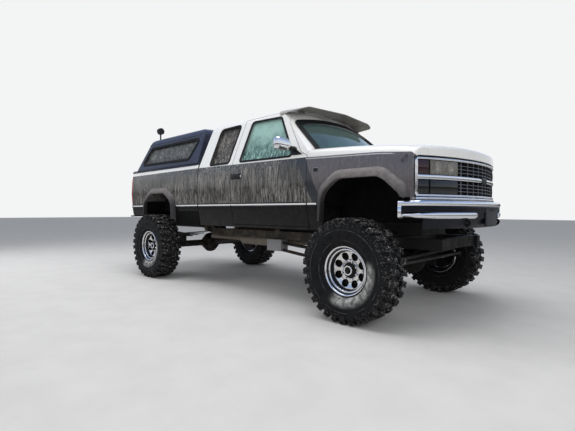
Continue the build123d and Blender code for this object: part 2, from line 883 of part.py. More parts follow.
def make_visor():
    """Thin brow that carries the roof's arch forward over the windscreen."""
    rear = visor_tip - visor_length
    layer = front_slab(cab_section(-visor_gap - visor_thick), rear, visor_tip + 100)
    layer = layer - front_slab(cab_section(-visor_gap), rear - 10, visor_tip + 110)
    plan = plan_slab([(rear, -visor_half, 40), (visor_tip, -visor_half + 40, 60), (visor_tip + 70, 0, 900),
                      (visor_tip, visor_half - 40, 60), (rear, visor_half, 40)], 2000, 2400)
    brow = layer & plan & block(-1500, 0, -1000, 1000, 2060, 2400)
    foot = block(rear + 30, rear + 90, 400, 460, 2150, roof_z + visor_gap - 4)
    brow = Pos(rear, 0, roof_z) * Rot(0, visor_tilt, 0) * Pos(-rear, 0, -roof_z) * brow
    return brow + both_sides(foot - cab_solid(-seat_gap))


def make_dashboard():
    back = firewall_x - wall - seat_gap
    rows = [(back, 1290, 0), (back, 1560, 0), (back - 190, 1590, 60), (back - 330, 1520, 60),
            (back - 300, 1330, 40), (back - 180, 1270, 40)]
    dash = side_slab(rows, -body_half + 115, body_half - 115)
    column = rod((back - 200, 380, 1380), (-985, 380, 1452), 32)
    return (dash & cab_solid(wall + seat_gap)) + column


def make_steering_wheel():
    back = firewall_x - wall - seat_gap
    a = Vector(back - 200, 380, 1380)
    b = Vector(-985, 380, 1452)
    along = (b - a).normalized()
    centre = b + along * 40
    plane = Plane(origin=centre, z_dir=along)
    rows = [(190 + 14 * cos(pi * k / 3), 14 * sin(pi * k / 3), 0) for k in range(6)]
    ring = plane * Rot(90, 0, 0) * revolve(outline(rows), Axis.Y)
    hub = extrude(plane.offset(running_gap - 40) * Circle(45), 50)
    spokes = plane * (Box(380, 30, 14) + Pos(0, -90, 0) * Box(30, 190, 14))
    return ring + hub + spokes


def seat_form(x_back, y_low, y_high):
    """One seat in side view: cushion with a raked back."""
    low = body_low + wall
    rows = [
        (x_back + 40, low + seat_gap, 0), (x_back + 520, low + seat_gap, 30), (x_back + 540, low + 330, 70),
        (x_back + 140, low + 300, 60), (x_back - 20, low + 900, 60), (x_back - 130, low + 880, 50),
        (x_back - 20, low + 200, 40),
    ]
    return side_slab(rows, y_low, y_high)


def make_seats():
    seats = [seat_form(-1640, 80, 640), seat_form(-1640, -640, -80)]
    low = body_low + wall
    bench_rows = [
        (-2360, low + seat_gap, 0), (-1960, low + seat_gap, 20), (-1940, low + 330, 60),
        (-2290, low + 300, 60), (-2390, low + 760, 40), (-2470, low + 740, 30),
    ]
    bench = side_slab(bench_rows, -700, 700)
    return Compound(children=[s for item in seats + [bench] for s in item.solids()])


def make_frame():
    kick = rear_axle + 544
    rail_rows = [
        (frame_front, rail_low, 0), (frame_front, rail_high, 0), (kick + 300, rail_high, 150),
        (kick, rail_high + rail_kick, 150), (frame_rear, rail_high + rail_kick, 0),
        (frame_rear, rail_low + rail_kick, 0), (kick - 30, rail_low + rail_kick, 150),
        (kick + 270, rail_low, 150),
    ]
    rail = side_slab(rail_rows, rail_outer - rail_width, rail_outer)
    body = rail + mirror(rail, about=Plane.XZ)
    # Each crossmember as station, width along the truck, and 1 where the rails are kicked up.
    crossmembers = [
        (560, 60, 0), (130, 100, 0), (-1480, 120, 0),
        (-2500, 60, 0), (kick - 200, 60, 1), (frame_rear + 40, 60, 1),
    ]
    inner = rail_outer - rail_width + 2
    for x, width, kicked in crossmembers:
        up = rail_kick * kicked
        low = rail_low + up
        high = (rail_high if x != -1480 else rail_low + 40) + up
        body = body + block(x - width / 2, x + width / 2, -inner, inner, low, high)
    drop = block(drop_rear, drop_front, rail_outer - rail_width, rail_outer + 40, drop_low, rail_low + 1)
    body = body + drop + mirror(drop, about=Plane.XZ)
    for x in (-700, -1480, -2300):
        puck = upright(x, rail_outer - rail_width / 2, rail_high - 1, body_low, 40)
        body = body + puck + mirror(puck, about=Plane.XZ)
    tower = block(-145, 60, rail_outer - 5, 640, 790, 812)
    tower = tower + block(-145, 60, rail_outer - 5, rail_outer + 10, 680, 812)
    body = body + tower + mirror(tower, about=Plane.XZ)
    for x in (rear_axle - leaf_reach + 30, rear_axle + leaf_reach - 30):
        hanger = block(x - 30, x + 30, rail_outer - 2, 572, leaf_top + leaf_rise + seat_gap, rail_high + 10)
        body = body + hanger + mirror(hanger, about=Plane.XZ)
    box = block(pitman_x - 50, pitman_x + 80, rail_outer - 2, pitman_y + 45, pitman_z + 40, rail_high + 20)
    sleeve = upright(pitman_x, pitman_y, pitman_z + 12 + joint_gap, pitman_z + 41, 26)
    face = track_bar_x + track_bar_radius + seat_gap
    bracket = block(face, track_bar_x + 30, 95, 150, rail_low - 45, rail_low + 1)
    return body + box + sleeve + bracket


def axle_housing(x, y, radius):
    """Round housing of the differential gears, domed on both sides."""
    rows = [(0, -radius * 0.86), (radius * 0.55, -radius * 0.78), (radius * 0.94, -radius * 0.3),
            (radius, 0), (radius * 0.94, radius * 0.3), (radius * 0.55, radius * 0.78),
            (0, radius * 0.86)]
    return Pos(x, y, z_axle) * revolve(outline([(u, v, 0) for u, v in rows]), Axis.Y)


def make_front_axle():
    reach = kingpin_y - 60
    tube = across(0, -reach, reach, z_axle, tube_radius)
    axle = tube + axle_housing(20, diff_offset, diff_radius)
    for side in (-1, 1):
        for level in (-1, 1):
            z_in = yoke_height * level
            z_out = (yoke_height + yoke_plate) * level
            z_low = z_axle + min(z_in, z_out)
            z_high = z_axle + max(z_in, z_out)
            ear = upright(0, side * kingpin_y, z_low, z_high, 42)
            y_low, y_high = sorted((side * reach, side * kingpin_y))
            web = block(-42, 42, y_low, y_high, z_low, z_high)
            axle = axle + ear + web
        web_y = side * (reach - 10)
        edge = yoke_height + 5
        axle = axle + block(-42, 42, web_y - 12, web_y + 12, z_axle - edge, z_axle + edge)
        pad = block(-60, 60, side * 570 - 60, side * 570 + 60, z_axle + 20, z_axle + 60)
        plate = block(-90, -30, side * 500 - 10, side * 500 + 10, 365, 540)
        axle = axle + pad + plate
        shelf = block(-145, -30, side * 560 - 28, side * 560 + 28, 455, shock_low - seat_gap)
        axle = axle + shelf
    return axle + block(20, track_bar_x + 25, -412, -390, 450, 515)


def knuckle(side):
    y = side * kingpin_y
    body = upright(0, y, z_axle - yoke_height + joint_gap, z_axle + yoke_height - joint_gap, kingpin_radius)
    out = side * (track_half + 50)
    stub = across(0, min(y, out), max(y, out), z_axle, spindle_radius)
    z = z_axle
    arm = block(0, steer_arm, y - 16, y + 16, z, z + arm_thick)
    eye = upright(steer_arm, y, z, z + arm_thick, eye_radius)
    body = body + stub + arm + eye
    body = body - upright(steer_arm, y, z - 10, z + arm_thick + 10, pin_radius + running_gap)
    if side < 0:
        body = body + upright(drag_arm, y, z, z + arm_thick, eye_radius)
        body = body - upright(drag_arm, y, z - 10, z + arm_thick + 10, pin_radius + running_gap)
    return body


def make_tie_rod():
    z = z_axle + arm_thick + joint_gap + 20
    bar = across(steer_arm, -kingpin_y, kingpin_y, z, rod_radius)
    for side in (-1, 1):
        y = side * kingpin_y
        bar = bar + upright(steer_arm, y, z - 20, z + 20, eye_radius - 2)
        bar = bar + upright(steer_arm, y, z_axle + 2, z, pin_radius)
    return bar


def make_drag_link():
    x_left = pitman_x + drag_arm
    z_right = z_axle + arm_thick + joint_gap + 20
    z_left = pitman_z - 20 - joint_gap - 12
    bar = rod((x_left, pitman_y, z_left), (drag_arm, -kingpin_y, z_right), rod_radius)
    bar = bar + upright(x_left, pitman_y, z_left - 20, z_left + 20, eye_radius - 2)
    bar = bar + upright(x_left, pitman_y, z_left, z_left + 44, pin_radius)
    bar = bar + upright(drag_arm, -kingpin_y, z_right - 20, z_right + 20, eye_radius - 2)
    bar = bar + upright(drag_arm, -kingpin_y, z_axle + 2, z_right, pin_radius)
    return bar


def make_pitman():
    x = pitman_x
    low = pitman_z - 12
    arm = block(x, x + drag_arm, pitman_y - 14, pitman_y + 14, low, low + 24)
    arm = arm + upright(x, pitman_y, low, low + 24, 30)
    arm = arm + upright(x + drag_arm, pitman_y, low, low + 24, eye_radius)
    return arm - upright(x + drag_arm, pitman_y, low - 10, low + 60, pin_radius + running_gap)


def make_rear_axle():
    reach = track_half + 50
    tube = Pos(rear_axle, 0, z_axle) * Rot(90, 0, 0) * Cylinder(rear_tube_radius, 2 * 880)
    axle = tube + axle_housing(rear_axle, 0, diff_radius + 10)
    for side in (-1, 1):
        low, high = sorted((side * 860, side * 930))
        axle = axle + across(rear_axle, low, high, z_axle, 160)
        low, high = sorted((side * 900, side * reach))
        axle = axle + across(rear_axle, low, high, z_axle, spindle_radius)
        y = side * 540
        perch = leaf_top - 4 * leaf_step - 2.5
        axle = axle + block(rear_axle - 60, rear_axle + 60, y - 35, y + 35, z_axle + 30, perch)
    return axle


def wave_spring(x, y, z_low, z_high):
    """A coil drawn as a stack of round turns about one core."""
    pitch = (z_high - z_low) / coil_turns
    rows = [(0, z_low, 0), (coil_radius - 18, z_low, 0)]
    for i in range(coil_turns):
        base = z_low + i * pitch
        rows.append((coil_radius, base + pitch * 0.5, 0))
        rows.append((coil_radius - 18, base + pitch, 0))
    rows[-1] = (coil_radius - 18, z_high, 0)
    rows.append((0, z_high, 0))
    profile = Plane.XZ * outline(rows)
    return Pos(x, y, 0) * revolve(profile, Axis.Z)


def make_suspension():
    pieces = []
    for side in (-1, 1):
        pieces.append(wave_spring(0, side * 570, z_axle + 60 + seat_gap, 790 - seat_gap))
        pieces.append(rod((-112, side * 560, shock_low), (-112, side * 560, 790 - seat_gap), 26))
        y = side * 500
        start = drop_front + 1.8
        high = rod((start, y, 612), (-92, y, 516), 19)
        low = rod((start, y, 525), (-92, y, 388), 19)
        pieces.append(high)
        pieces.append(low)
        y_leaf = side * 540
        pack = None
        thick = leaf_thick
        for index, share in enumerate((1.0, 0.78, 0.56, 0.34)):
            reach = leaf_reach * share
            top = leaf_top - leaf_step * index
            sag = leaf_rise * share ** 2
            rows = [(rear_axle - reach, top - thick + sag, 0), (rear_axle, top - thick - 4, 900),
                    (rear_axle + reach, top - thick + sag, 0), (rear_axle + reach, top + sag, 0),
                    (rear_axle, top, 900), (rear_axle - reach, top + sag, 0)]
            leaf = side_slab(rows, y_leaf - 32, y_leaf + 32)
            pack = leaf if pack is None else pack + leaf
        pieces.append(pack)
    track_bar = rod((track_bar_x, -385.4, 483), (track_bar_x, 130, rail_low - 17), track_bar_radius)
    pieces.append(track_bar)
    return Compound(children=[s for p in pieces for s in p.solids()])


def make_powertrain():
    engine = block(-400, 330, -290, 290, 770, 1380)
    mounts = block(-60, 60, -rail_outer + rail_width + seat_gap, rail_outer - rail_width - seat_gap, 775, 800)
    box = block(-1300, -540, -140, 140, rail_low + 40 + seat_gap, 808)
    bell = block(-545, -395, -200, 200, rail_low + 60, 808)
    case = block(-1640, -1290, -260, 130, rail_low + 40 + seat_gap, 800)
    shaft = rod((-1640, 0, 700), (rear_axle + diff_radius + 25, 0, z_axle + 20), 38)
    return engine + mounts + bell + box + case + shaft


def make_fuel_tank():
    tank = block(-3000, -2605, 90, rail_outer - rail_width - seat_gap, 650, 790)
    return fillet(tank.edges().filter_by(Axis.X), 30)


def make_exhaust():
    y, z = -330, 618
    pipe = rod((-620, y, z), (-1710, y, z), 30)
    muffler = rod((-1700, y, z), (-2300, y, z), 78)
    tail = rod((-2290, y, z), (tail_end + 20, y, z), 30)
    tip = rod((tail_end + tail_tip, y, z), (tail_end, y, z), tail_tip_radius)
    hanger = block(-2510, -2490, y - 6, y + 6, z + 17, rail_low - seat_gap)
    front_hanger = block(-1490, -1470, y - 6, y + 6, z + 22, rail_low - seat_gap)
    return pipe + muffler + tail + tip + hanger + front_hanger


def ring_face(radius, y):
    """A many-sided face across the axle, with its flats radius away from the axle."""
    corner = radius / cos(pi / tyre_sides)
    angles = [2 * pi * (k + 0.5) / tyre_sides for k in range(tyre_sides)]
    points = [Vector(corner * cos(a), y, corner * sin(a)) for a in angles]
    return make_face(Polyline(*points, close=True))


def tyre_carcass():
    half = tyre_width / 2
    base = tyre_radius - lug_height
    bead = rim_radius - rim_seat + seat_gap
    flat = rim_width / 2 - rim_lip - seat_gap
    side = [(bead + 12, flat), (340, half - 4), (base - 10, half - 40)]
    rows = [(r, -y) for r, y in side] + [(r, y) for r, y in reversed(side)]
    body = loft([ring_face(r, y) for r, y in rows], ruled=True)
    return body - loft([ring_face(bead, -half), ring_face(bead, half)], ruled=True)


def tyre_lug(y_low, y_high, along, flank):
    """One lug with its middle on the X axis; flank is how far it runs down the sidewall."""
    tip = sqrt(tyre_radius ** 2 - along ** 2 / 4)
    root = tyre_radius - lug_height - 16
    points = [(root, y_low), (tip, y_low), (tip, y_high - 14 * (flank > 0))]
    points += [(root + 10 - flank, y_high), (root - flank, y_high - 30)] if flank else [(root, y_high)]
    rows = [(r, y, 0) for r, y in points]
    return Pos(0, 0, -along / 2) * extrude(outline(rows), along)


def make_tyre(x, side):
    half = tyre_width / 2
    step = 360 / lug_count
    shoulder = tyre_lug(half - lug_width, half, lug_long, lug_flank)
    crown = tyre_lug(-45, 45, lug_long - 18, 0)
    lugs = []
    for k in range(lug_count):
        lugs.append(Rot(0, (k + 0.5) * step, 0) * shoulder)
        lugs.append(Rot(0, (k + 0.25) * step, 0) * crown)
        lugs.append(Rot(0, k * step, 0) * mirror(shoulder, about=Plane.XZ))
    lean = degrees(asin(lug_long / 2 / tyre_radius))
    tyre = Rot(0, lean, 0) * tyre_carcass().fuse(*lugs)
    return Pos(x, side * track_half, z_axle) * tyre


def make_rim(x, side):
    lip = rim_width / 2
    out = rim_radius
    inner = -lip
    seat = out - rim_seat
    ring = [
        (out, lip, 0), (out, lip - rim_lip, 0), (seat, lip - rim_lip, 0), (seat, inner + rim_lip, 0),
        (out, inner + rim_lip, 0), (out, inner, 0), (seat - rim_wall, inner, 0), (seat - rim_wall, lip, 0),
    ]
    disc_y = lip - disc_inset
    bore = spindle_radius + running_gap
    edge = seat - rim_wall + 4
    disc = [
        (bore, disc_y + 54, 0), (hub_radius, disc_y + 54, 0), (hub_radius, disc_y + disc_thick, 0),
        (disc_flat, disc_y + disc_thick, 0), (edge, disc_y + disc_thick - 30, 0), (edge, disc_y - 36, 0),
        (disc_flat, disc_y, 0), (hub_radius, disc_y, 0), (hub_radius, disc_y - 60, 0),
        (bore, disc_y - 60, 0),
    ]
    wheel = revolve(outline(ring), Axis.Y) + revolve(outline(disc), Axis.Y)
    for i in range(disc_holes):
        angle = 360 / disc_holes * (i + 0.5)
        hole = Pos(disc_hole_circle, disc_y, 0) * Rot(90, 0, 0) * Cylinder(disc_hole_radius, 90)
        wheel = wheel - Rot(0, angle, 0) * hole
    if side < 0:
        wheel = Rot(0, 0, 180) * wheel
    return Pos(x, side * track_half, z_axle) * wheel


def export(node, shape):
    moved = Pos(origin_shift, 0, 0) * shape
    export_step(moved, f"parts/{node}.step")


def main():
    os.makedirs("parts", exist_ok=True)
    door = make_door()
    door_glass = make_door_glass()
    mirror_head = make_mirror()
    pieces = {
        "frame": make_frame(),
        "cab_shell": make_cab(),
        "cab_glass": make_cab_glass(),
        "front_fenders": make_fenders(),
        "wheel_flares": make_flares(),
        "engine_bay_panels": make_bay_panels(),
        "grille": make_grille(),
        "headlamps": make_headlamps(),
        "front_bumper": make_bumper(),
        "bumper_trim": make_bumper_trim(),
        "bed_box": make_bed(),
        "tail_lamps": make_tail_lamps(),
        "rear_bumper": make_rear_bumper(),
        "topper_shell": make_topper(),
        "topper_glass": make_topper_glass(),
        "roof_lamp": make_roof_lamp(),
        "sun_visor": make_visor(),
        "dashboard": make_dashboard(),
        "steering_wheel": make_steering_wheel(),
        "seats": make_seats(),
        "front_axle": make_front_axle(),
        "rear_axle": make_rear_axle(),
        "suspension": make_suspension(),
        "powertrain": make_powertrain(),
        "fuel_tank": make_fuel_tank(),
        "exhaust": make_exhaust(),
        "hood": make_hood(),
        "tailgate": make_tailgate(),
        "topper_hatch": make_hatch(),
        "door_left": door,
        "door_left_glass": door_glass,
        "mirror_left": mirror_head,
        "door_right": mirror(door, about=Plane.XZ),
        "door_right_glass": mirror(door_glass, about=Plane.XZ),
        "mirror_right": mirror(mirror_head, about=Plane.XZ),
        "knuckle_left": knuckle(1),
        "knuckle_right": knuckle(-1),
        "tie_rod": make_tie_rod(),
        "drag_link": make_drag_link(),
        "pitman_arm": make_pitman(),
    }
    corners = [
        ("front_left", 0.0, 1), ("front_right", 0.0, -1),
        ("rear_left", rear_axle, 1), ("rear_right", rear_axle, -1),
    ]
    for name, x, side in corners:
        pieces["tyre_" + name] = make_tyre(x, side)
        pieces["rim_" + name] = make_rim(x, side)
    for node, shape in pieces.items():
        export(node, shape)


main()
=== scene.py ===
import bpy
import bmesh
import json
import math
import numpy as np
from mathutils import Matrix, Vector

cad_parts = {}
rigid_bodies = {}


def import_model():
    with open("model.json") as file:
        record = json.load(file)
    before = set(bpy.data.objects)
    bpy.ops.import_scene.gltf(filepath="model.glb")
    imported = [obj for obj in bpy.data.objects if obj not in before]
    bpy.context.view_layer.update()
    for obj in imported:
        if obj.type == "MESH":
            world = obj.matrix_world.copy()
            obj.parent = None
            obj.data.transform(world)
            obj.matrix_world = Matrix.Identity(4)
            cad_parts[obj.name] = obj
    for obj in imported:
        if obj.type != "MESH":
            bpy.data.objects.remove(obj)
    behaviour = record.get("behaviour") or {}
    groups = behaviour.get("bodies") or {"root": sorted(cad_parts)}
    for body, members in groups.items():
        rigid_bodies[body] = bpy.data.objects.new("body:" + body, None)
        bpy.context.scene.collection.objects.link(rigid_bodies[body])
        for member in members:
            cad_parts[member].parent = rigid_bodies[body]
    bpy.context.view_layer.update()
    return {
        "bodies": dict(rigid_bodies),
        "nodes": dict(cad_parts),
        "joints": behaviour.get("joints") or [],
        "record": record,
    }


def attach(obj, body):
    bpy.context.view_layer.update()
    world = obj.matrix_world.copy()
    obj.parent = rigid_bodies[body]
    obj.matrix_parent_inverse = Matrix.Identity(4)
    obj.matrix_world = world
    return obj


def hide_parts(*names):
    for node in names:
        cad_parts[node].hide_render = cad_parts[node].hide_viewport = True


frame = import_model()
print("stage: frame loaded")

axleX = 1.905  # front axle's place along the truck, metres
wheelbase = 3594  # mm


def st(mm):  # station in mm from the front axle, to metres in the frame
    return np.asarray(mm, float) / 1000 + axleX


def at(mm):  # the same for one number
    return float(st(mm))


rearAxleX = at(-wheelbase)


# Shapes

def cubic(a, b, c, d, f):  # smooth cubic from b to c at share f; a and d are the points beyond
    bend = (2 * a - 5 * b + 4 * c - d) * f ** 2
    return 0.5 * (2 * b + (c - a) * f + bend + (3 * b - a - 3 * c + d) * f ** 3)


def curve(points, n):  # smooth line that passes each of the points
    p = np.asarray(points, float)
    p = np.vstack([2 * p[0] - p[1], p, 2 * p[-1] - p[-2]])
    t = np.linspace(0, len(p) - 3, n)
    i = np.minimum(t.astype(int), len(p) - 4)
    return cubic(p[i], p[i + 1], p[i + 2], p[i + 3], (t - i)[:, None])


def even(points, n):  # the same line with n points spread evenly along it
    p = np.asarray(points, float)
    step = np.r_[0, np.cumsum(np.linalg.norm(np.diff(p, axis=0), axis=1))]
    t = np.linspace(0, step[-1], n)
    return np.stack([np.interp(t, step, p[:, k]) for k in range(p.shape[1])], 1)


def unit(v):  # vectors along the last axis at length one
    return v / np.linalg.norm(v, axis=-1, keepdims=True)


def rounded(corners, steps=6, closed=True):  # polygon rows (u, v, radius) with arcs at its corners
    pts = np.array([c[:2] for c in corners], float)
    out = []
    for k, (here, row) in enumerate(zip(pts, corners)):
        r = row[2]
        if r == 0 or (not closed and k in (0, len(corners) - 1)):
            out.append(here[None])
            continue
        back = unit(pts[k - 1] - here)
        ahead = unit(pts[(k + 1) % len(pts)] - here)
        half = np.arccos(np.clip(back @ ahead, -1, 1)) / 2
        centre = here + unit(back + ahead) * r / np.sin(half)
        a = here + back * r / np.tan(half) - centre
        b = here + ahead * r / np.tan(half) - centre
        t = np.linspace(0, 1, steps)[:, None]
        out.append(centre + unit(a * (1 - t) + b * t) * r)
    return np.vstack(out)


def evenLoop(corners, steps, n):  # a closed outline with rounded corners and n even points
    line = rounded(corners, steps)
    return even(np.vstack([line, line[:1]]), n + 1)[:-1]


def grid(points, wrapU=False, wrapV=False):  # quads over an array of points (u, v, xyz)
    nu, nv = points.shape[:2]
    u = np.arange(nu if wrapU else nu - 1)[:, None]
    v = np.arange(nv if wrapV else nv - 1)[None]
    u1, v1 = (u + 1) % nu, (v + 1) % nv
    quads = np.stack(np.broadcast_arrays(u * nv + v, u1 * nv + v, u1 * nv + v1, u * nv + v1), -1)
    return points.reshape(-1, 3), quads.reshape(-1, 4)


def gather(parts):  # several sets of points and quads as one
    offset, verts, quads = 0, [], []
    for p, q in parts:
        verts.append(p)
        quads.append(q + offset)
        offset += len(p)
    return np.concatenate(verts), np.concatenate(quads)


def capped(points):  # a tube of rings closed by drawing each end to its middle
    first = np.repeat(points[:1].mean(1, keepdims=True), points.shape[1], 1)
    last = np.repeat(points[-1:].mean(1, keepdims=True), points.shape[1], 1)
    return grid(np.concatenate([first, points, last]), wrapV=True)


def lathe(profile, centre, axis="y", n=48, closed=True):  # profile (radius, along) turned about an axis
    p = np.asarray(profile, float)
    a = np.linspace(0, 2 * np.pi, n, endpoint=False)[:, None]
    r, s = p[None, :, 0], p[None, :, 1]
    ca, sa, s = r * np.cos(a), r * np.sin(a), s + 0 * a
    order = {"y": (ca, s, sa), "x": (s, ca, sa), "z": (ca, sa, s)}[axis]
    return grid(np.stack(order, -1) + np.asarray(centre, float), wrapU=True, wrapV=closed)


def turned(start, end, profile, n=24):  # profile (radius, share of the length) turned about a line
    start, end = np.asarray(start, float), np.asarray(end, float)
    along = end - start
    side = unit(np.cross(along, [0.3, 0.5, 0.8]))
    other = np.cross(unit(along), side)
    a = np.linspace(0, 2 * np.pi, n, endpoint=False)[None, :, None]
    p = np.asarray(profile, float)
    r, t = p[:, 0, None, None], p[:, 1, None, None]
    return capped(start + along * t + r * (np.cos(a) * side + np.sin(a) * other))


def sweep(path, profile, outward, closed=False):
    # profile (across, out) carried along a path; outward is the out direction at each point
    path = np.asarray(path, float)
    out = np.broadcast_to(np.asarray(outward, float), path.shape)
    along = unit(np.roll(path, -1, 0) - np.roll(path, 1, 0) if closed else np.gradient(path, axis=0))
    across = unit(np.cross(out, along))
    out = np.cross(along, across)
    p = np.asarray(profile, float)
    rings = path[:, None] + p[None, :, :1] * across[:, None] + p[None, :, 1:] * out[:, None]
    return grid(rings, wrapU=True, wrapV=True) if closed else capped(rings)


def pill(width, height, lift=0.0, n=4):  # rounded strip profile, lying on its base
    r = min(width, height * 2) / 2 * 0.98
    a = np.linspace(0, np.pi / 2, n)
    right = np.stack([width / 2 - r + r * np.cos(a), height - r + r * np.sin(a)], 1)
    right[:, 1] = np.maximum(right[:, 1], 0)
    left = right[::-1] * [-1, 1]
    base = np.array([[-width / 2, 0.0], [width / 2, 0.0]])
    return np.vstack([right, left, base]) + [0, lift]


def boxes(rows, bevel=0.004):  # bevelled blocks from rows of low x, high x, low y, high y, low z, high z
    parts = []
    for row in rows:
        low, high = np.array(row[0::2], float), np.array(row[1::2], float)
        mid, half = (low + high) / 2, (high - low) / 2
        cut = min(bevel, half.min() * 0.6)
        rings = []
        for level, inset in ((-half[2], cut), (cut - half[2], 0.0), (half[2] - cut, 0.0), (half[2], cut)):
            u, v = half[0] - inset, half[1] - inset
            ring = rounded([(-u, -v, cut), (u, -v, cut), (u, v, cut), (-u, v, cut)], 3)
            rings.append(np.column_stack([ring, np.full(len(ring), level)]) + mid)
        parts.append(capped(np.array(rings)))
    return gather(parts)


def shell(points, wall, outward):
    # a grid of points as a closed panel; it grows by wall against outward, the side its skin faces
    step = [np.gradient(points, axis=k) for k in (0, 1)]
    normal = np.cross(*step)
    normal /= np.maximum(np.linalg.norm(normal, axis=2, keepdims=True), 1e-9)
    if (normal * outward).sum(2).mean() < 0:
        normal = -normal
    nu, nv = points.shape[:2]
    index = np.arange(nu * nv).reshape(nu, nv)
    rim = np.r_[index[:-1, 0], index[-1, :-1], index[:0:-1, -1], index[0, :0:-1]]
    _, face = grid(points)
    after = np.roll(rim, -1)
    edge = np.stack([rim, after, after + nu * nv, rim + nu * nv], 1)
    verts = np.concatenate([points.reshape(-1, 3), (points - normal * wall).reshape(-1, 3)])
    return verts, np.concatenate([face, face[:, ::-1] + nu * nv, edge])


def mirrored(part):  # the same piece on the truck's other side
    p, q = part
    return p * [1, -1, 1], q[:, ::-1]


def bothWays(parts):
    return [p for part in parts for p in (part, mirrored(part))]


def meshOf(name, verts, faces):
    mesh = bpy.data.meshes.new(name)
    mesh.from_pydata(verts.tolist(), [], faces.tolist() if isinstance(faces, np.ndarray) else faces)
    return mesh


def coordinates(mesh):
    co = np.empty(len(mesh.vertices) * 3)
    mesh.vertices.foreach_get("co", co)
    return co.reshape(-1, 3)


def linked(name, data):  # a new object in the scene
    obj = bpy.data.objects.new(name, data)
    bpy.context.scene.collection.objects.link(obj)
    return obj


def build(name, parts, body, material, smooth=40, wall=0, bevel=0, stands=(), weld=2e-5):
    # makes one object from points and quads, finishes it, and lets it ride on a body
    mesh = meshOf(name, *gather(parts if isinstance(parts, list) else [parts]))
    bm = bmesh.new()
    bm.from_mesh(mesh)
    bmesh.ops.remove_doubles(bm, verts=bm.verts, dist=weld)
    bmesh.ops.dissolve_degenerate(bm, edges=bm.edges, dist=1e-6)
    bmesh.ops.recalc_face_normals(bm, faces=bm.faces)
    bm.to_mesh(mesh)
    bm.free()
    return finishPiece(name, mesh, body, material, smooth, wall, bevel, 0, stands)


def finishPiece(name, mesh, body, material, smooth=40, wall=0, bevel=0, sub=0, stands=()):
    mesh.polygons.foreach_set("use_smooth", np.ones(len(mesh.polygons), bool))
    mesh.set_sharp_from_angle(angle=math.radians(smooth))
    obj = linked(name, mesh)
    if not mesh.materials:
        mesh.materials.append(material)
    if wall:
        m = obj.modifiers.new("wall", "SOLIDIFY")
        m.thickness, m.offset, m.use_even_offset = wall, -1, True
    if bevel:
        m = obj.modifiers.new("edge", "BEVEL")
        m.width, m.segments, m.limit_method = bevel, 2, "ANGLE"
        m.angle_limit = math.radians(34)
    if sub:
        m = obj.modifiers.new("soft", "SUBSURF")
        m.levels = m.render_levels = sub
    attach(obj, body)
    if stands:
        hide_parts(*stands)
    return obj


def dress(node, body, materials, bevel=0.004, choose=None, angle=34):
    # a copy of a CAD piece, merged and with softened edges, that stands for it
    mesh = frame["nodes"][node].data.copy()
    mesh.materials.clear()
    for m in materials:
        mesh.materials.append(m)
    bm = bmesh.new()
    bm.from_mesh(mesh)
    bmesh.ops.remove_doubles(bm, verts=bm.verts, dist=2e-5)
    bmesh.ops.dissolve_limit(bm, angle_limit=math.radians(0.6), verts=bm.verts, edges=bm.edges)
    for layer in list(bm.loops.layers.uv.values()):
        bm.loops.layers.uv.remove(layer)
    bm.to_mesh(mesh)
    bm.free()
    for attribute in [a for a in mesh.attributes if a.name.startswith("custom") or a.name == "sharp_face"]:
        mesh.attributes.remove(attribute)
    count = len(mesh.polygons)
    if choose is not None:
        centre, normal = np.empty(count * 3), np.empty(count * 3)
        mesh.polygons.foreach_get("center", centre)
        mesh.polygons.foreach_get("normal", normal)
        which = choose(centre.reshape(-1, 3), normal.reshape(-1, 3)).astype(np.int32)
    else:
        which = np.zeros(count, np.int32)
    mesh.polygons.foreach_set("material_index", which)
    return finishPiece(node + "_dressed", mesh, body, materials[0], angle, 0, bevel, 0, (node,))


# Finishes

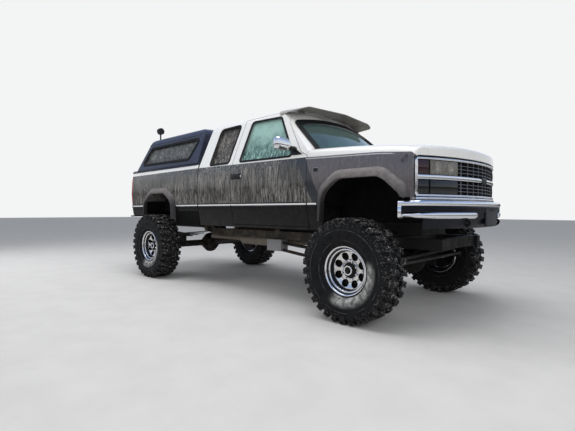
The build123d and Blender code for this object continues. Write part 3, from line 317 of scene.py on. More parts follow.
class Tree:  # short hand for a material's nodes
    def __init__(self, name):
        self.mat = bpy.data.materials.new(name)
        self.mat.use_nodes = True
        self.nodes, self.links = self.mat.node_tree.nodes, self.mat.node_tree.links
        self.nodes.clear()
        self.out = self.nodes.new("ShaderNodeOutputMaterial")
        self.shader = self.nodes.new("ShaderNodeBsdfPrincipled")
        self.links.new(self.shader.outputs[0], self.out.inputs[0])
        self.place = self.nodes.new("ShaderNodeTexCoord").outputs["Object"]

    def node(self, kind, inputs=(), **settings):
        n = self.nodes.new("ShaderNode" + kind)
        for key, value in settings.items():
            setattr(n, key, value)
        for key, value in dict(inputs).items():
            self.put(n.inputs[key], value)
        return n

    def put(self, socket, value):
        if isinstance(value, bpy.types.NodeSocket):
            self.links.new(value, socket)
        else:
            socket.default_value = value

    def stretched(self, scale, turn=(0, 0, 0), shift=(0, 0, 0)):
        inputs = {"Vector": self.place, "Scale": scale, "Rotation": turn, "Location": shift}
        return self.node("Mapping", inputs).outputs[0]

    def noise(self, scale, detail=4.0, rough=0.55, stretch=(1, 1, 1), distort=0.0, shift=(0, 0, 0)):
        inputs = {"Vector": self.stretched(stretch, shift=shift), "Scale": scale, "Detail": detail,
                  "Roughness": rough, "Distortion": distort}
        return self.node("TexNoise", inputs).outputs[0]

    def ramp(self, value, low, high, start=0.0, end=1.0):
        inputs = {"Value": value, "From Min": low, "From Max": high, "To Min": start, "To Max": end}
        return self.node("MapRange", inputs, interpolation_type="SMOOTHSTEP").outputs[0]

    def maths(self, op, a, b=0.0):
        return self.node("Math", {0: a, 1: b}, operation=op).outputs[0]

    def times(self, a, b):
        return self.maths("MULTIPLY", a, b)

    def most(self, a, b):
        return self.maths("MAXIMUM", a, b)

    def band(self, value, a, b, c, d):  # rises from a to b and falls from c to d
        return self.times(self.ramp(value, a, b), self.ramp(value, d, c))

    def blend(self, share, a, b):
        n = self.node("Mix", {"Factor": share}, data_type="RGBA")
        self.put(n.inputs[6], a)
        self.put(n.inputs[7], b)
        return n.outputs[2]

    def axis(self, which):
        return self.node("SeparateXYZ", {0: self.place}).outputs["XYZ".index(which)]

    def roundUv(self):  # the wheel pieces' UV: its socket, u and v
        uv = self.node("UVMap", uv_map="round").outputs[0]
        parts = self.node("SeparateXYZ", {0: uv})
        return uv, parts.outputs[0], parts.outputs[1]

    def bump(self, height, strength, distance, before=None):
        inputs = {"Height": height, "Strength": strength, "Distance": distance}
        if before is not None:
            inputs["Normal"] = before
        return self.node("Bump", inputs).outputs[0]

    def set(self, **values):
        for key, value in values.items():
            self.put(self.shader.inputs[key.replace("_", " ")], value)
        return self.mat

    def veiled(self, share, colour, rough):  # the finish under a share of matt veil: dried film, and on the door glass painted sky brightness
        film = self.node("BsdfPrincipled", {"Base Color": tone(*colour), "Roughness": rough})
        mix = self.node("MixShader", {0: share, 1: self.shader.outputs[0], 2: film.outputs[0]})
        self.links.new(mix.outputs[0], self.out.inputs[0])
        return self.mat


def tone(r, g, b):
    return (r, g, b, 1.0)


def fillRamp(ramp, stops):  # places and colours of a colour ramp
    while len(ramp.elements) < len(stops):
        ramp.elements.new(0.5)
    for element, (place, colour) in zip(ramp.elements, stops):
        element.position, element.color = place, tone(*colour)


dirt = dict(  # what a user would change about the dirt on the truck
    dust=tone(0.075, 0.066, 0.055), pale=tone(0.38, 0.355, 0.325), streaks=0.82, lowDust=0.22)
belt = dict(  # metres: station and height of the paint's edge; the ramp's start and length
    line=[(-2.70, 1.584), (-0.65, 1.590), (0.08, 1.579), (1.30, 1.560), (1.352, 1.556), (2.143, 1.531),
          (2.452, 1.503), (2.470, 1.470)], start=-3.0, length=6.0)


def streakShare(t, amount, size=1.0):  # dried foam runs down the sides: thin, long, broken up
    fine = t.noise(1.0, 4.0, 0.65, (120 / size, 120 / size, 4.5), 0.3)
    wide = t.noise(1.0, 4.0, 0.6, (58 / size, 58 / size, 2.2), 0.5, (3, 1, 0))
    patch = t.noise(2.6, 3.0, 0.6)
    drops = t.noise(1.0, 2.0, 0.6, (160, 160, 45))
    run = t.most(t.ramp(fine, 0.50, 0.64), t.times(t.ramp(wide, 0.50, 0.66), 0.7))
    run = t.most(run, t.times(t.ramp(drops, 0.56, 0.70), 0.5))
    return t.times(t.times(run, t.ramp(patch, 0.34, 0.60, 0.35, 1.0)), amount)


def twoTone():  # white above the belt line, charcoal under it, with the photograph's dirt
    t = Tree("two_tone_paint")
    x, z = t.axis("X"), t.axis("Z")
    share = t.maths("DIVIDE", t.maths("SUBTRACT", x, belt["start"]), belt["length"])
    edge = t.node("ValToRGB", {0: share})
    fillRamp(edge.color_ramp, [((station - belt["start"]) / belt["length"], (height / 2,) * 3)
                               for station, height in belt["line"]])
    over = t.maths("SUBTRACT", z, t.times(edge.outputs[0], 2.0))
    white = t.ramp(over, -0.0015, 0.0015)
    stripe = t.times(t.band(over, -0.022, -0.020, -0.012, -0.010), t.band(x, 1.29, 1.30, 2.25, 2.30))
    mottled = t.noise(9.0, 5.0, 0.65)
    cleanReflectSlant = t.maths("ADD", x, t.times(z, 0.5))  # slanted strip at the door's front: clean of dust, with a painted dark reflection
    strip = t.band(cleanReflectSlant, 1.925, 1.95, 2.05, 2.075)
    ahead = t.ramp(cleanReflectSlant, 2.05, 2.08)
    runs = streakShare(t, dirt["streaks"])
    runs = t.times(runs, t.ramp(strip, 0.0, 1.0, 1.0, 0.04))
    runs = t.times(runs, t.ramp(ahead, 0.0, 1.0, 1.0, 0.22))
    runs = t.times(runs, t.ramp(z, 1.06, 1.10, 0.035, 1.0))
    film = t.times(t.ramp(mottled, 0.35, 0.75), t.ramp(strip, 0.0, 1.0, 0.20, 0.0))
    film = t.times(film, t.ramp(z, 1.06, 1.10, 0.08, 1.0))
    low = t.times(t.ramp(z, 1.05, 0.80), t.ramp(mottled, 0.35, 0.7, 0.05, dirt["lowDust"] * 0.6))
    grey = t.blend(t.ramp(ahead, 0.0, 1.0), tone(0.014, 0.0135, 0.013), tone(0.078, 0.071, 0.080))
    # the strip's dark blue-grey colour is a painted reflection on the clean paint
    for share, colour in ((strip, tone(0.020, 0.023, 0.030)),
                          (t.ramp(z, 1.10, 1.06), tone(0.007, 0.007, 0.008)),
                          (film, tone(0.085, 0.076, 0.066)), (runs, dirt["pale"]), (low, dirt["dust"]),
                          (stripe, tone(0.42, 0.40, 0.42))):
        grey = t.blend(share, grey, colour)
    specks = t.ramp(t.noise(1.0, 4.0, 0.7, (60, 60, 20)), 0.66, 0.80, 0.0, 0.35)
    pale = t.blend(specks, tone(0.72, 0.715, 0.70), tone(0.46, 0.43, 0.38))
    matt = t.times(t.most(t.most(runs, film), low), t.ramp(white, 0.0, 1.0, 1.0, 0.3))
    peel = t.bump(t.noise(240.0, 2.0), 0.05, 0.002)
    return t.set(Base_Color=t.blend(white, grey, pale), Roughness=t.ramp(matt, 0.0, 0.7, 0.24, 0.75),
                 Normal=t.bump(matt, 0.15, 0.002, peel), Coat_Weight=t.ramp(z, 1.06, 1.10, 0.0, 0.32),
                 Coat_Roughness=0.12, Specular_IOR_Level=t.ramp(z, 1.06, 1.10, 0.10, 0.45))


def whitePaint():
    t = Tree("white_hood_paint")
    specks = t.ramp(t.noise(1.0, 4.0, 0.7, (60, 40, 60)), 0.66, 0.82, 0.0, 0.30)
    stain = t.ramp(t.noise(3.0, 4.0, 0.6), 0.45, 0.8, 0.0, 0.25)
    colour = t.blend(stain, tone(0.72, 0.715, 0.70), tone(0.60, 0.58, 0.53))
    colour = t.blend(specks, colour, tone(0.50, 0.46, 0.40))
    rough = t.ramp(specks, 0.0, 0.35, 0.20, 0.5)
    return t.set(Base_Color=colour, Roughness=rough, Coat_Weight=0.5, Coat_Roughness=0.08,
                 Normal=t.bump(t.noise(220.0, 2.0), 0.05, 0.002))


def flarePaint():
    t = Tree("flare_plastic_pale_top")
    z = t.axis("Z")
    cloud = t.noise(14.0, 5.0, 0.65)
    # lighter towards the top in cloudy patches
    top = t.times(t.ramp(z, 1.05, 1.36), t.ramp(cloud, 0.3, 0.7, 0.45, 1.0))
    colour = t.blend(top, tone(0.020, 0.019, 0.020), tone(0.21, 0.19, 0.185))
    specks = t.ramp(t.noise(90.0, 3.0), 0.6, 0.75, 0.0, 0.5)
    colour = t.blend(specks, colour, tone(0.30, 0.27, 0.23))
    return t.set(Base_Color=colour, Roughness=t.ramp(top, 0.0, 1.0, 0.42, 0.8),
                 Normal=t.bump(cloud, 0.12, 0.004))


def topperPaint():
    t = Tree("topper_dark_blue_paint")
    runs = streakShare(t, 0.30)
    film = t.ramp(t.noise(6.0, 5.0, 0.65), 0.35, 0.8, 0.0, 0.35)
    colour = t.blend(film, tone(0.006, 0.009, 0.028), tone(0.028, 0.032, 0.052))
    colour = t.blend(runs, colour, tone(0.16, 0.165, 0.18))
    matt = t.most(runs, film)
    return t.set(Base_Color=colour, Roughness=t.ramp(matt, 0.0, 0.6, 0.34, 0.7), Specular_IOR_Level=0.3,
                 Coat_Weight=0.1, Coat_Roughness=0.2, Normal=t.bump(t.noise(200.0, 2.0), 0.05, 0.002))


def chrome(name="chrome_plate", dull=0.07, tint=(0.80, 0.80, 0.81)):
    t = Tree(name)
    smear = t.noise(22.0, 5.0, 0.6)
    grime = t.ramp(t.noise(7.0, 5.0, 0.7), 0.5, 0.8, 0.0, 0.35)
    colour = t.blend(grime, tone(*tint), tone(tint[0] * 0.6, tint[1] * 0.55, tint[2] * 0.48))
    return t.set(Base_Color=colour, Metallic=1.0, Roughness=t.ramp(smear, 0.3, 0.8, dull, dull + 0.16),
                 Normal=t.bump(t.noise(60.0, 2.0), 0.03, 0.002))


def plastic(name, colour, rough=0.6, dusty=0.3, grain=350.0, sheen=0.5):
    t = Tree(name)
    cloud = t.ramp(t.noise(9.0, 5.0, 0.65), 0.4, 0.8, 0.0, dusty)
    base = t.blend(cloud, tone(*colour), tone(0.19, 0.17, 0.14))
    return t.set(Base_Color=base, Roughness=t.ramp(cloud, 0.0, 0.4, rough, 0.85), Specular_IOR_Level=sheen,
                 Normal=t.bump(t.noise(grain, 3.0), 0.25, 0.0015))


def castMetal(name, colour, rust=0.35, dusty=0.45, noseShade=0.75):
    # dusty behind the front wheels; near black at the nose, where thinner dust and a dark blend are painted
    # shade
    t = Tree(name)
    cloud = t.noise(11.0, 6.0, 0.65)
    fine = t.noise(120.0, 4.0, 0.6)
    dust = t.times(t.ramp(cloud, 0.42, 0.72, 0.0, dusty), t.ramp(t.axis("X"), 2.1, 1.1, 0.15, 1.0))
    base = t.blend(dust, tone(*colour), tone(0.13, 0.11, 0.088))
    base = t.blend(t.ramp(t.noise(26.0, 5.0, 0.7), 0.56, 0.72, 0.0, rust), base, tone(0.14, 0.066, 0.032))
    # painted shade: a near black blend towards the nose
    base = t.blend(t.ramp(t.axis("X"), 1.95, 2.25, 0.0, noseShade), base, tone(0.005, 0.005, 0.006))
    return t.set(Base_Color=base, Roughness=t.ramp(cloud, 0.3, 0.8, 0.5, 0.9), Specular_IOR_Level=0.15,
                 Metallic=0.1, Normal=t.bump(fine, 0.35, 0.002))


def tyreRubber():
    # u is 1 at the low front of the tyre and 0 opposite it, v is the radius as a share of the tyre's own
    t = Tree("tyre_rubber")
    _, u, v = t.roundUv()
    cloud = t.noise(16.0, 6.0, 0.68)
    fine = t.noise(160.0, 4.0, 0.6)
    # the sidewall is scuffed pale near the rim, on the outer side toward the low front
    worn = t.times(t.band(v, 0.485, 0.51, 0.56, 0.72), t.ramp(u, 0.62, 0.80))
    worn = t.times(worn, t.ramp(t.maths("ABSOLUTE", t.axis("Y")), 1.07, 1.10))
    worn = t.times(worn, t.ramp(cloud, 0.38, 0.60, 0.25, 1.0))
    rings = t.most(t.band(v, 0.766, 0.771, 0.779, 0.784), t.band(v, 0.566, 0.570, 0.579, 0.583))
    rings = t.times(rings, t.ramp(cloud, 0.42, 0.60, 0.0, 0.45))
    colour = t.blend(worn, tone(0.0055, 0.0055, 0.006), tone(0.44, 0.44, 0.43))
    colour = t.blend(rings, colour, tone(0.14, 0.14, 0.14))
    # pale specks on the blocks: painted highlights on the lug edges, with dried mud
    glintsAndMud = t.ramp(t.noise(48.0, 3.0, 0.7, distort=0.8), 0.535, 0.60, 0.0, 0.66)
    glintsAndMud = t.times(glintsAndMud, t.times(t.ramp(v, 0.80, 0.85), t.ramp(cloud, 0.40, 0.58, 0.15, 1.0)))
    glintsAndMud = t.times(glintsAndMud, t.ramp(v, 0.945, 0.985, 0.35, 1.0))
    colour = t.blend(glintsAndMud, colour, tone(0.36, 0.35, 0.33))
    height = t.maths("ADD", t.times(rings, 1.5), t.times(fine, 0.7))
    return t.set(Base_Color=colour, Roughness=t.ramp(cloud, 0.3, 0.7, 0.6, 0.9), Specular_IOR_Level=0.22,
                 Normal=t.bump(height, 0.35, 0.0025))


def wheelMetal(name, pale, dark, steps):
    # steps are dark rings of painted shade, in shares of the rim's radius: start, full, full, end
    t = Tree(name)
    uv, _, v = t.roundUv()
    lines = t.node("Mapping", {"Vector": uv, "Scale": (3.0, 160.0, 1.0)}).outputs[0]
    brushed = t.node("TexNoise", {"Vector": lines, "Scale": 1.0, "Detail": 3.0}).outputs[0]
    grime = t.ramp(t.noise(30.0, 6.0, 0.7), 0.52, 0.78, 0.0, 0.5)
    for a, b, c, d in steps:
        grime = t.most(grime, t.times(t.ramp(v, a, b, 0.0, 0.94), t.ramp(v, d, c)))
    colour = t.blend(grime, tone(*pale), tone(*dark))
    return t.set(Base_Color=colour, Metallic=1.0, Roughness=t.ramp(grime, 0.0, 0.5, 0.15, 0.5),
                 Normal=t.bump(brushed, 0.08, 0.001))


def windowGlass(name, tint, dirty, pale, see, rough, filmAndSkyVeil, gloss, size):
    # The veil range gives the least and most of the matt veil, which thickens upwards: dried film, and on the
    # door glass a painted pale brightness of sky seen through it, lighter towards the top; size is how wide
    # the runs are
    t = Tree(name)
    rise = t.ramp(t.axis("Z"), 1.60, 2.05, 0.0, 0.5)
    veil = t.maths("ADD", t.times(t.noise(9.0, 6.0, 0.7), 0.9), rise)
    share = t.most(streakShare(t, dirty, size), t.ramp(veil, 0.3, 1.0, *filmAndSkyVeil))
    t.set(Base_Color=tone(*tint), Roughness=rough, IOR=1.45, Transmission_Weight=see,
          Specular_IOR_Level=gloss)
    return t.veiled(share, pale, 0.85)


def lens(name, tint, see=0.75, ribs=0.0, rough=0.06, film=(0.0, 0.30)):
    t = Tree(name)
    wave = t.node("TexWave", {"Vector": t.place, "Scale": 22.0}, wave_type="BANDS", bands_direction="Y")
    t.set(Base_Color=tone(*tint), Roughness=rough, IOR=1.47, Transmission_Weight=see,
          Normal=t.bump(wave.outputs[1], ribs, 0.002))
    return t.veiled(t.ramp(t.noise(24.0, 5.0, 0.65), 0.45, 0.8, *film), (0.30, 0.27, 0.23), 0.8)


def cloth(name, colour, weave=900.0):
    t = Tree(name)
    warp = t.node("TexWave", {"Vector": t.place, "Scale": weave / 6.283}, bands_direction="Y")
    weft = t.node("TexWave", {"Vector": t.place, "Scale": weave / 6.283}, bands_direction="Z")
    cross = t.times(warp.outputs[1], weft.outputs[1])
    worn = t.ramp(t.noise(7.0, 5.0, 0.6), 0.35, 0.75, 0.0, 0.5)
    base = t.blend(worn, tone(*colour), tone(colour[0] * 1.5, colour[1] * 1.45, colour[2] * 1.35))
    return t.set(Base_Color=base, Roughness=0.92, Sheen_Weight=0.35, Normal=t.bump(cross, 0.5, 0.001))


bodyPaint = twoTone()
hoodPaint = whitePaint()
flarePlastic = flarePaint()
topperBlue = topperPaint()
chromePlate = chrome()
blackPlastic = plastic("black_trim_plastic", (0.009, 0.009, 0.010), 0.45, 0.14, 350.0, 0.3)
blackRubber = plastic("black_rubber_seal", (0.006, 0.006, 0.006), 0.7, 0.07, 600.0, 0.2)
valanceBlack = plastic("dark_blue_valance", (0.003, 0.004, 0.008), 0.36, 0.05, 350.0, 0.2)
grilleMetal = chrome("dull_grille_metal", 0.3, (0.30, 0.30, 0.31))
bowlMetal = chrome("reflector_metal", 0.30, (0.60, 0.60, 0.56))
# white stands in for the light on the moulding's chrome insert: a painted highlight
brightStrip = plastic("bright_moulding", (0.74, 0.74, 0.75), 0.22, 0.05)
mirrorGlass = chrome("mirror_glass", 0.02, (0.70, 0.72, 0.74))
plateBlank = plastic("blank_plate", (0.020, 0.020, 0.022), 0.5, 0.1)
darkLens = plastic("dark_lens", (0.006, 0.006, 0.006), 0.12, 0.06, 40.0)
markerDark = plastic("dark_marker", (0.022, 0.006, 0.009), 0.14, 0.06, 40.0)
# the liner's own black, darkened further as painted shade for the inside of the wheel arches
linerBlack = plastic("black_liner", (0.003, 0.003, 0.003), 0.8, 0.03, 60.0, 0.12)
dashPlastic = plastic("dash_plastic", (0.035, 0.034, 0.033), 0.6, 0.2)
visorPlastic = plastic("visor_smoked_plastic", (0.30, 0.285, 0.25), 0.32, 0.3)
frameSteel = castMetal("dusty_frame_steel", (0.040, 0.037, 0.032), 0.10, 0.95)
dropGrey = plastic("grey_bracket_paint", (0.26, 0.26, 0.27), 0.5, 0.3)
axleIron = castMetal("dusty_axle_iron", (0.014, 0.013, 0.012), 0.22, 0.4)
darkSteel = castMetal("dark_bumper_steel", (0.016, 0.016, 0.017), 0.08, 0.3)
springSteel = castMetal("spring_steel", (0.018, 0.017, 0.016), 0.2, 0.45)
tailPipe = castMetal("exhaust_steel", (0.22, 0.19, 0.16), 0.6, 0.4)
engineIron = castMetal("engine_iron", (0.055, 0.054, 0.052), 0.25, 0.5, 0.0)
brakeIron = castMetal("brake_iron", (0.006, 0.006, 0.006), 0.06, 0.15)
rodSteel = castMetal("bare_rod_steel", (0.12, 0.115, 0.11), 0.12, 0.4)
rubberTread = tyreRubber()
wheelPolish = wheelMetal("polished_wheel", (0.70, 0.69, 0.68), (0.16, 0.135, 0.11), [])
# its two dark rings are painted shade: the step between the bright rolls and the inside of the barrel
lipPolish = wheelMetal("polished_lip", (0.78, 0.78, 0.78), (0.012, 0.012, 0.016),
                       [(0.886, 0.894, 0.934, 0.942), (-0.2, -0.1, 0.812, 0.826)])
# the door glass's pale mint veil is painted light: sky brightness seen through it, lighter towards the top
doorGlass = windowGlass("door_glass", (0.20, 0.46, 0.40), 0.70, (0.44, 0.66, 0.60),
                        see=0.9, rough=0.04, filmAndSkyVeil=(0.0, 0.62), gloss=0.5, size=2.2)
dirtyGlass = windowGlass("quarter_glass_dirty", (0.008, 0.007, 0.007), 1.0, (0.30, 0.275, 0.25),
                         see=0.2, rough=0.35, filmAndSkyVeil=(0.0, 0.10), gloss=0.12, size=1.9)
screenGlass = windowGlass("screen_glass", (0.20, 0.40, 0.36), 0.22, (0.26, 0.38, 0.36),
                          see=0.95, rough=0.03, filmAndSkyVeil=(0.02, 0.16), gloss=0.5, size=1.6)
topperGlass = windowGlass("topper_glass_dark", (0.006, 0.007, 0.008), 0.9, (0.24, 0.24, 0.235),
                          see=0.2, rough=0.35, filmAndSkyVeil=(0.0, 0.16), gloss=0.10, size=2.4)
clearLens = lens("clear_lens", (0.80, 0.80, 0.77), 0.95, 0.08, 0.06, (0.30, 0.40))
redLens = lens("red_lens", (0.45, 0.015, 0.012), 0.35, 0.35)
innerTrim = plastic("cab_trim_panel", (0.10, 0.098, 0.094), 0.8, 0.25, 500.0)
seatCloth = cloth("seat_cloth", (0.085, 0.082, 0.080))
seatEdge = plastic("seat_vinyl_edge", (0.04, 0.04, 0.042), 0.55, 0.2, 700.0)
print("stage: finishes made")


# Wheels

wheel = dict(  # metres; a user changes the tyre and rim here
    tyreRadius=0.475, lugs=30, lugLong=0.058, rimRadius=0.222, holes=8, holeRadius=0.0345, holeCircle=0.1315,
    nuts=8, nutCircle=0.0815, z=0.475, y=1.0)
wheelPlaces = {"front_left": (axleX, 1), "front_right": (axleX, -1), "rear_left": (rearAxleX, 1),
               "rear_right": (rearAxleX, -1)}


def aroundAxle(theta, radius, across):  # angle, radius and place along the axle, to points
    return np.stack(np.broadcast_arrays(radius * np.cos(theta), across, radius * np.sin(theta)), -1)


def tyreCarcass():
    # half section from the tread's middle to the bead, then back inside, turned round the axle
    half = curve([(0.4525, 0.0), (0.4520, 0.060), (0.4490, 0.100), (0.4400, 0.128), (0.4250, 0.142),
                  (0.4000, 0.1495), (0.3700, 0.1525), (0.3400, 0.1525), (0.3080, 0.1490), (0.2800, 0.1410),
                  (0.2560, 0.1300), (0.2400, 0.1200), (0.2290, 0.1150), (0.2200, 0.1080)], 44)
    raised = (half[:, 0] > 0.362) & (half[:, 0] < 0.374) | (half[:, 0] > 0.266) & (half[:, 0] < 0.28)
    half[:, 1] += 0.0022 * raised  # rings each side of the bare letter band
    inside = np.array([(0.2200, 0.098), (0.250, 0.112), (0.30, 0.130), (0.38, 0.134), (0.425, 0.10),
                       (0.432, 0.0)])
    outer = np.vstack([half[::-1] * [1, -1], half[1:]])
    inner = np.vstack([inside[:-1], inside[::-1] * [1, -1]])
    profile = np.vstack([outer, inner])
    theta = np.linspace(0, 2 * np.pi, 120, endpoint=False)[:, None]
    return grid(aroundAxle(theta, profile[None, :, 0], profile[None, :, 1]), wrapU=True, wrapV=True)


def shoulderLugs(side):
    # a closed (radius, across) outline carried a short way round the tyre, ends drawn in to make block faces
    top = wheel["tyreRadius"]
    outline = np.array([(top - 0.001, 0.056), (top, 0.100), (top - 0.002, 0.137), (top - 0.010, 0.149),
                        (top - 0.028, 0.1545), (0.420, 0.1550), (0.402, 0.1530), (0.398, 0.146),
                        (0.430, 0.120), (0.444, 0.058)])
    count = wheel["lugs"]
    which = np.arange(count)
    outlines = np.repeat(outline[None], count, 0)
    longer = (which % 2 == 0)
    outlines[longer, 0, 1] = outlines[longer, 9, 1] = 0.044
    outlines[longer, 5:7, 0] -= [0.012, 0.016]
    middle = outlines.mean(1, keepdims=True)
    width = wheel["lugLong"] / 2
    stations = np.array([(-width, 0.0), (-width, 0.88), (-width + 0.005, 1.0), (-0.004, 1.0), (-0.003, 0.90),
                         (0.003, 0.90), (0.004, 1.0), (width - 0.005, 1.0), (width, 0.88), (width, 0.0)])
    shape = middle[:, None] + (outlines - middle)[:, None] * stations[None, :, 1, None, None]
    r, y = shape[..., 0], shape[..., 1]
    skew = 0.20 * (0.15 - y)  # lugs lean like a shallow arrow
    theta = (which[:, None, None] + (0.5 if side > 0 else 0.0)) * 2 * np.pi / count
    theta = theta + (stations[None, :, 0, None] + skew * side) / top
    points = aroundAxle(theta, r, y * side)
    return [grid(p, wrapV=True) for p in points]


def centreBlocks():
    # two rows of slanted six-sided blocks between the shoulder lugs
    count = wheel["lugs"]
    flat = np.array([(-0.026, -0.020), (-0.008, -0.031), (0.020, -0.027), (0.028, 0.004), (0.010, 0.030),
                     (-0.020, 0.024)])
    levels = np.array([(0.444, 1.12), (0.468, 1.02), (0.4735, 0.94), (0.4742, 0.86), (0.4742, 0.0)])
    r, grow = levels[None, :, :1], levels[None, :, 1:]  # radius and size of each level of a block
    parts = []
    for side, shift in ((-1, 0.24), (1, 0.74)):
        theta0 = (np.arange(count)[:, None, None] + shift) * 2 * np.pi / count
        s = flat[None, None, :, 0] * grow * side
        y = flat[None, None, :, 1] * grow + side * 0.0335
        points = aroundAxle(theta0 + s / 0.46, r + 0 * s, y + 0 * theta0)
        parts += [grid(p, wrapV=True) for p in points]
    return parts


def roundMap(obj, centreX, radius):
    # UV of a wheel piece: u from the cosine of the turn from the low front, v the share of the radius
    mesh = obj.data
    co = coordinates(mesh) - [centreX, 0, wheel["z"]]
    u = 0.5 + 0.5 * np.cos(np.arctan2(co[:, 2], co[:, 0]) + math.radians(50))
    v = np.hypot(co[:, 0], co[:, 2]) / radius
    index = np.empty(len(mesh.loops), np.int32)
    mesh.loops.foreach_get("vertex_index", index)
    layer = mesh.uv_layers.new(name="round")
    layer.data.foreach_set("uv", np.stack([u[index], v[index]], 1).ravel())


def placeWheel(part, centreX, side):  # from the wheel's own frame to its place on the truck
    p, q = part
    turn = np.array([1, 1, 1]) if side > 0 else np.array([-1, -1, 1])
    return p * turn + [centreX, side * wheel["y"], wheel["z"]], q


def discPlate():
    # each of the eight sectors is a ring of points from its round hole out to the sector's edge
    n, m = wheel["holes"], 40
    rc, rh = wheel["holeCircle"], wheel["holeRadius"]
    inner, outer, middle = 0.072, 0.1785, 0.105  # the disc's edges and where sectors are widest
    phi = np.linspace(0, 2 * np.pi, m, endpoint=False) + np.pi / m
    cosP, sinP = np.cos(phi), np.sin(phi)
    halfTurn = np.pi / n
    reach = np.minimum(halfTurn / np.maximum(np.abs(sinP), 1e-6) * middle,
                       np.where(cosP > 0, outer - rc, rc - inner) / np.maximum(np.abs(cosP), 1e-6))
    edgeR = rc + reach * cosP
    edgeT = np.clip(reach * sinP / middle, -halfTurn, halfTurn)
    shares = np.array([0.0, 0.0, 0.07, 0.20, 0.45, 0.72, 1.0])[:, None]
    hx, hy = rc + rh * cosP, rh * sinP
    ex, ey = edgeR * np.cos(edgeT), edgeR * np.sin(edgeT)
    x = hx * (1 - shares) + ex * shares
    y = hy * (1 - shares) + ey * shares
    r, t = np.hypot(x, y), np.arctan2(y, x)
    profile = np.array([(0.060, 0.031), (0.072, 0.031), (0.090, 0.0275), (0.105, 0.0265), (0.120, 0.0285),
                        (0.140, 0.0350), (0.158, 0.0430), (0.170, 0.0470), (0.1785, 0.0440)])
    fine = curve(profile, 60)
    across = np.interp(r, fine[:, 0], fine[:, 1])
    across[:2] -= np.array([[0.014], [0.003]])  # rolled edge of each hole
    parts = [grid(aroundAxle(t + (k + 0.5) * 2 * np.pi / n, r, across), wrapV=True) for k in range(n)]
    hub = lathe([(0.0722, 0.031), (0.060, 0.031), (0.058, 0.026), (0.0, 0.026)], (0, 0, 0), closed=False)
    return parts + [hub]


def rimBarrel():
    # a bright lip, a step painted dark as shade and a second bright roll outside, drop centre and inner
    # flange behind
    return lathe([(0.2235, 0.109), (0.2245, 0.1155), (0.2215, 0.1190), (0.2165, 0.1185), (0.2105, 0.1140),
                  (0.2080, 0.1080), (0.2050, 0.0960), (0.1990, 0.0915), (0.1960, 0.0930), (0.1910, 0.0940),
                  (0.1860, 0.0920), (0.1820, 0.0870), (0.1800, 0.0780), (0.1785, 0.0400), (0.1785, -0.0900),
                  (0.2050, -0.1100), (0.2200, -0.1170), (0.2240, -0.1150), (0.2220, -0.1020),
                  (0.2120, -0.0920), (0.2080, 0.0), (0.2120, 0.094), (0.2200, 0.1010)], (0, 0, 0), n=96)


def wheelNuts():  # the nuts and the ring between them
    profile = [(0.0115, 0), (0.0115, 0.20), (0.0100, 0.22), (0.0100, 0.86), (0.0070, 1.0)]
    ring = [(0.0300, 0.020), (0.0300, 0.066), (0.0330, 0.0700), (0.0420, 0.0700), (0.0450, 0.066),
            (0.0450, 0.020)]
    parts = []
    for a in (np.arange(wheel["nuts"]) + 0.5) * 2 * np.pi / wheel["nuts"]:
        c = wheel["nutCircle"] * np.array([np.cos(a), 0, np.sin(a)])
        parts.append(turned(c + [0, 0.024, 0], c + [0, 0.052, 0], profile, 6))
    return parts + [lathe(ring, (0, 0, 0))]


def hubCap():
    return [lathe([(0.0, 0.076), (0.016, 0.075), (0.021, 0.070), (0.022, 0.060), (0.0305, 0.058),
                   (0.0305, 0.040), (0.0640, 0.040), (0.0690, 0.036), (0.0690, 0.028), (0.0, 0.028)],
                  (0, 0, 0), closed=False)]


def brakeDisc():
    return [lathe([(0.060, 0.004), (0.164, 0.004), (0.166, 0.000), (0.166, -0.018), (0.164, -0.022),
                   (0.060, -0.022)], (0, 0, 0), n=64)]


tyreParts = [gather([tyreCarcass()] + shoulderLugs(1) + shoulderLugs(-1) + centreBlocks())]
discParts = [gather(discPlate())]
for corner, (centreX, side) in wheelPlaces.items():
    body, rim = "wheel_" + corner, "rim_" + corner
    place = lambda parts: [placeWheel(p, centreX, side) for p in parts]
    tyre = build("tyre_" + corner + "_tread", place(tyreParts), body, rubberTread, 34,
                 stands=("tyre_" + corner,))
    disc = build(rim + "_disc", place(discParts), body, wheelPolish, 50, wall=0.007, weld=3e-4)
    barrel = build(rim + "_barrel", place([rimBarrel()]), body, lipPolish, 38, stands=(rim,))
    for obj, size in ((tyre, "tyreRadius"), (disc, "rimRadius"), (barrel, "rimRadius")):
        roundMap(obj, centreX, wheel[size])
    build(rim + "_nuts", place(wheelNuts()), body, chromePlate, 30)
    build(rim + "_hub", place(hubCap()), body, axleIron, 30)
    if corner.startswith("front"):
        build(rim + "_brake", place(brakeDisc()), body, brakeIron, 30)
print("stage: wheels made")


# Front clip: hood and fenders share one smooth surface

clip = dict(  # mm: rows give each station's half section, (y, z) from sill to hood edge
    rows={-640: [(905, 812), (945, 1030), (965, 1290), (955, 1500), (930, 1606), (880, 1645), (826, 1647)],
          0: [(905, 812), (945, 1030), (965, 1270), (957, 1470), (925, 1582), (872, 1616), (826, 1620)],
          520: [(900, 812), (940, 1030), (962, 1250), (952, 1430), (915, 1530), (860, 1563), (826, 1567.5)],
          900: [(890, 812), (932, 1030), (952, 1220), (940, 1380), (905, 1458), (850, 1491), (826, 1495)]},
    edge=(1647, 1620, 1568, 1495), crown=(1672, 1668, 1628, 1528),  # the hood's heights at those stations
    noseX=815, noseRadius=1880, cowlX=-359, cowlRadius=1909.8, hoodHalf=819, wall=20, roll=30.0, foot=1476.0)


def noseLine(y, depth=0.0):  # station of the nose's arc at half width y, sunk by depth
    r = clip["noseRadius"]
    return clip["noseX"] - r + np.sqrt((r - depth) ** 2 - np.asarray(y, float) ** 2)


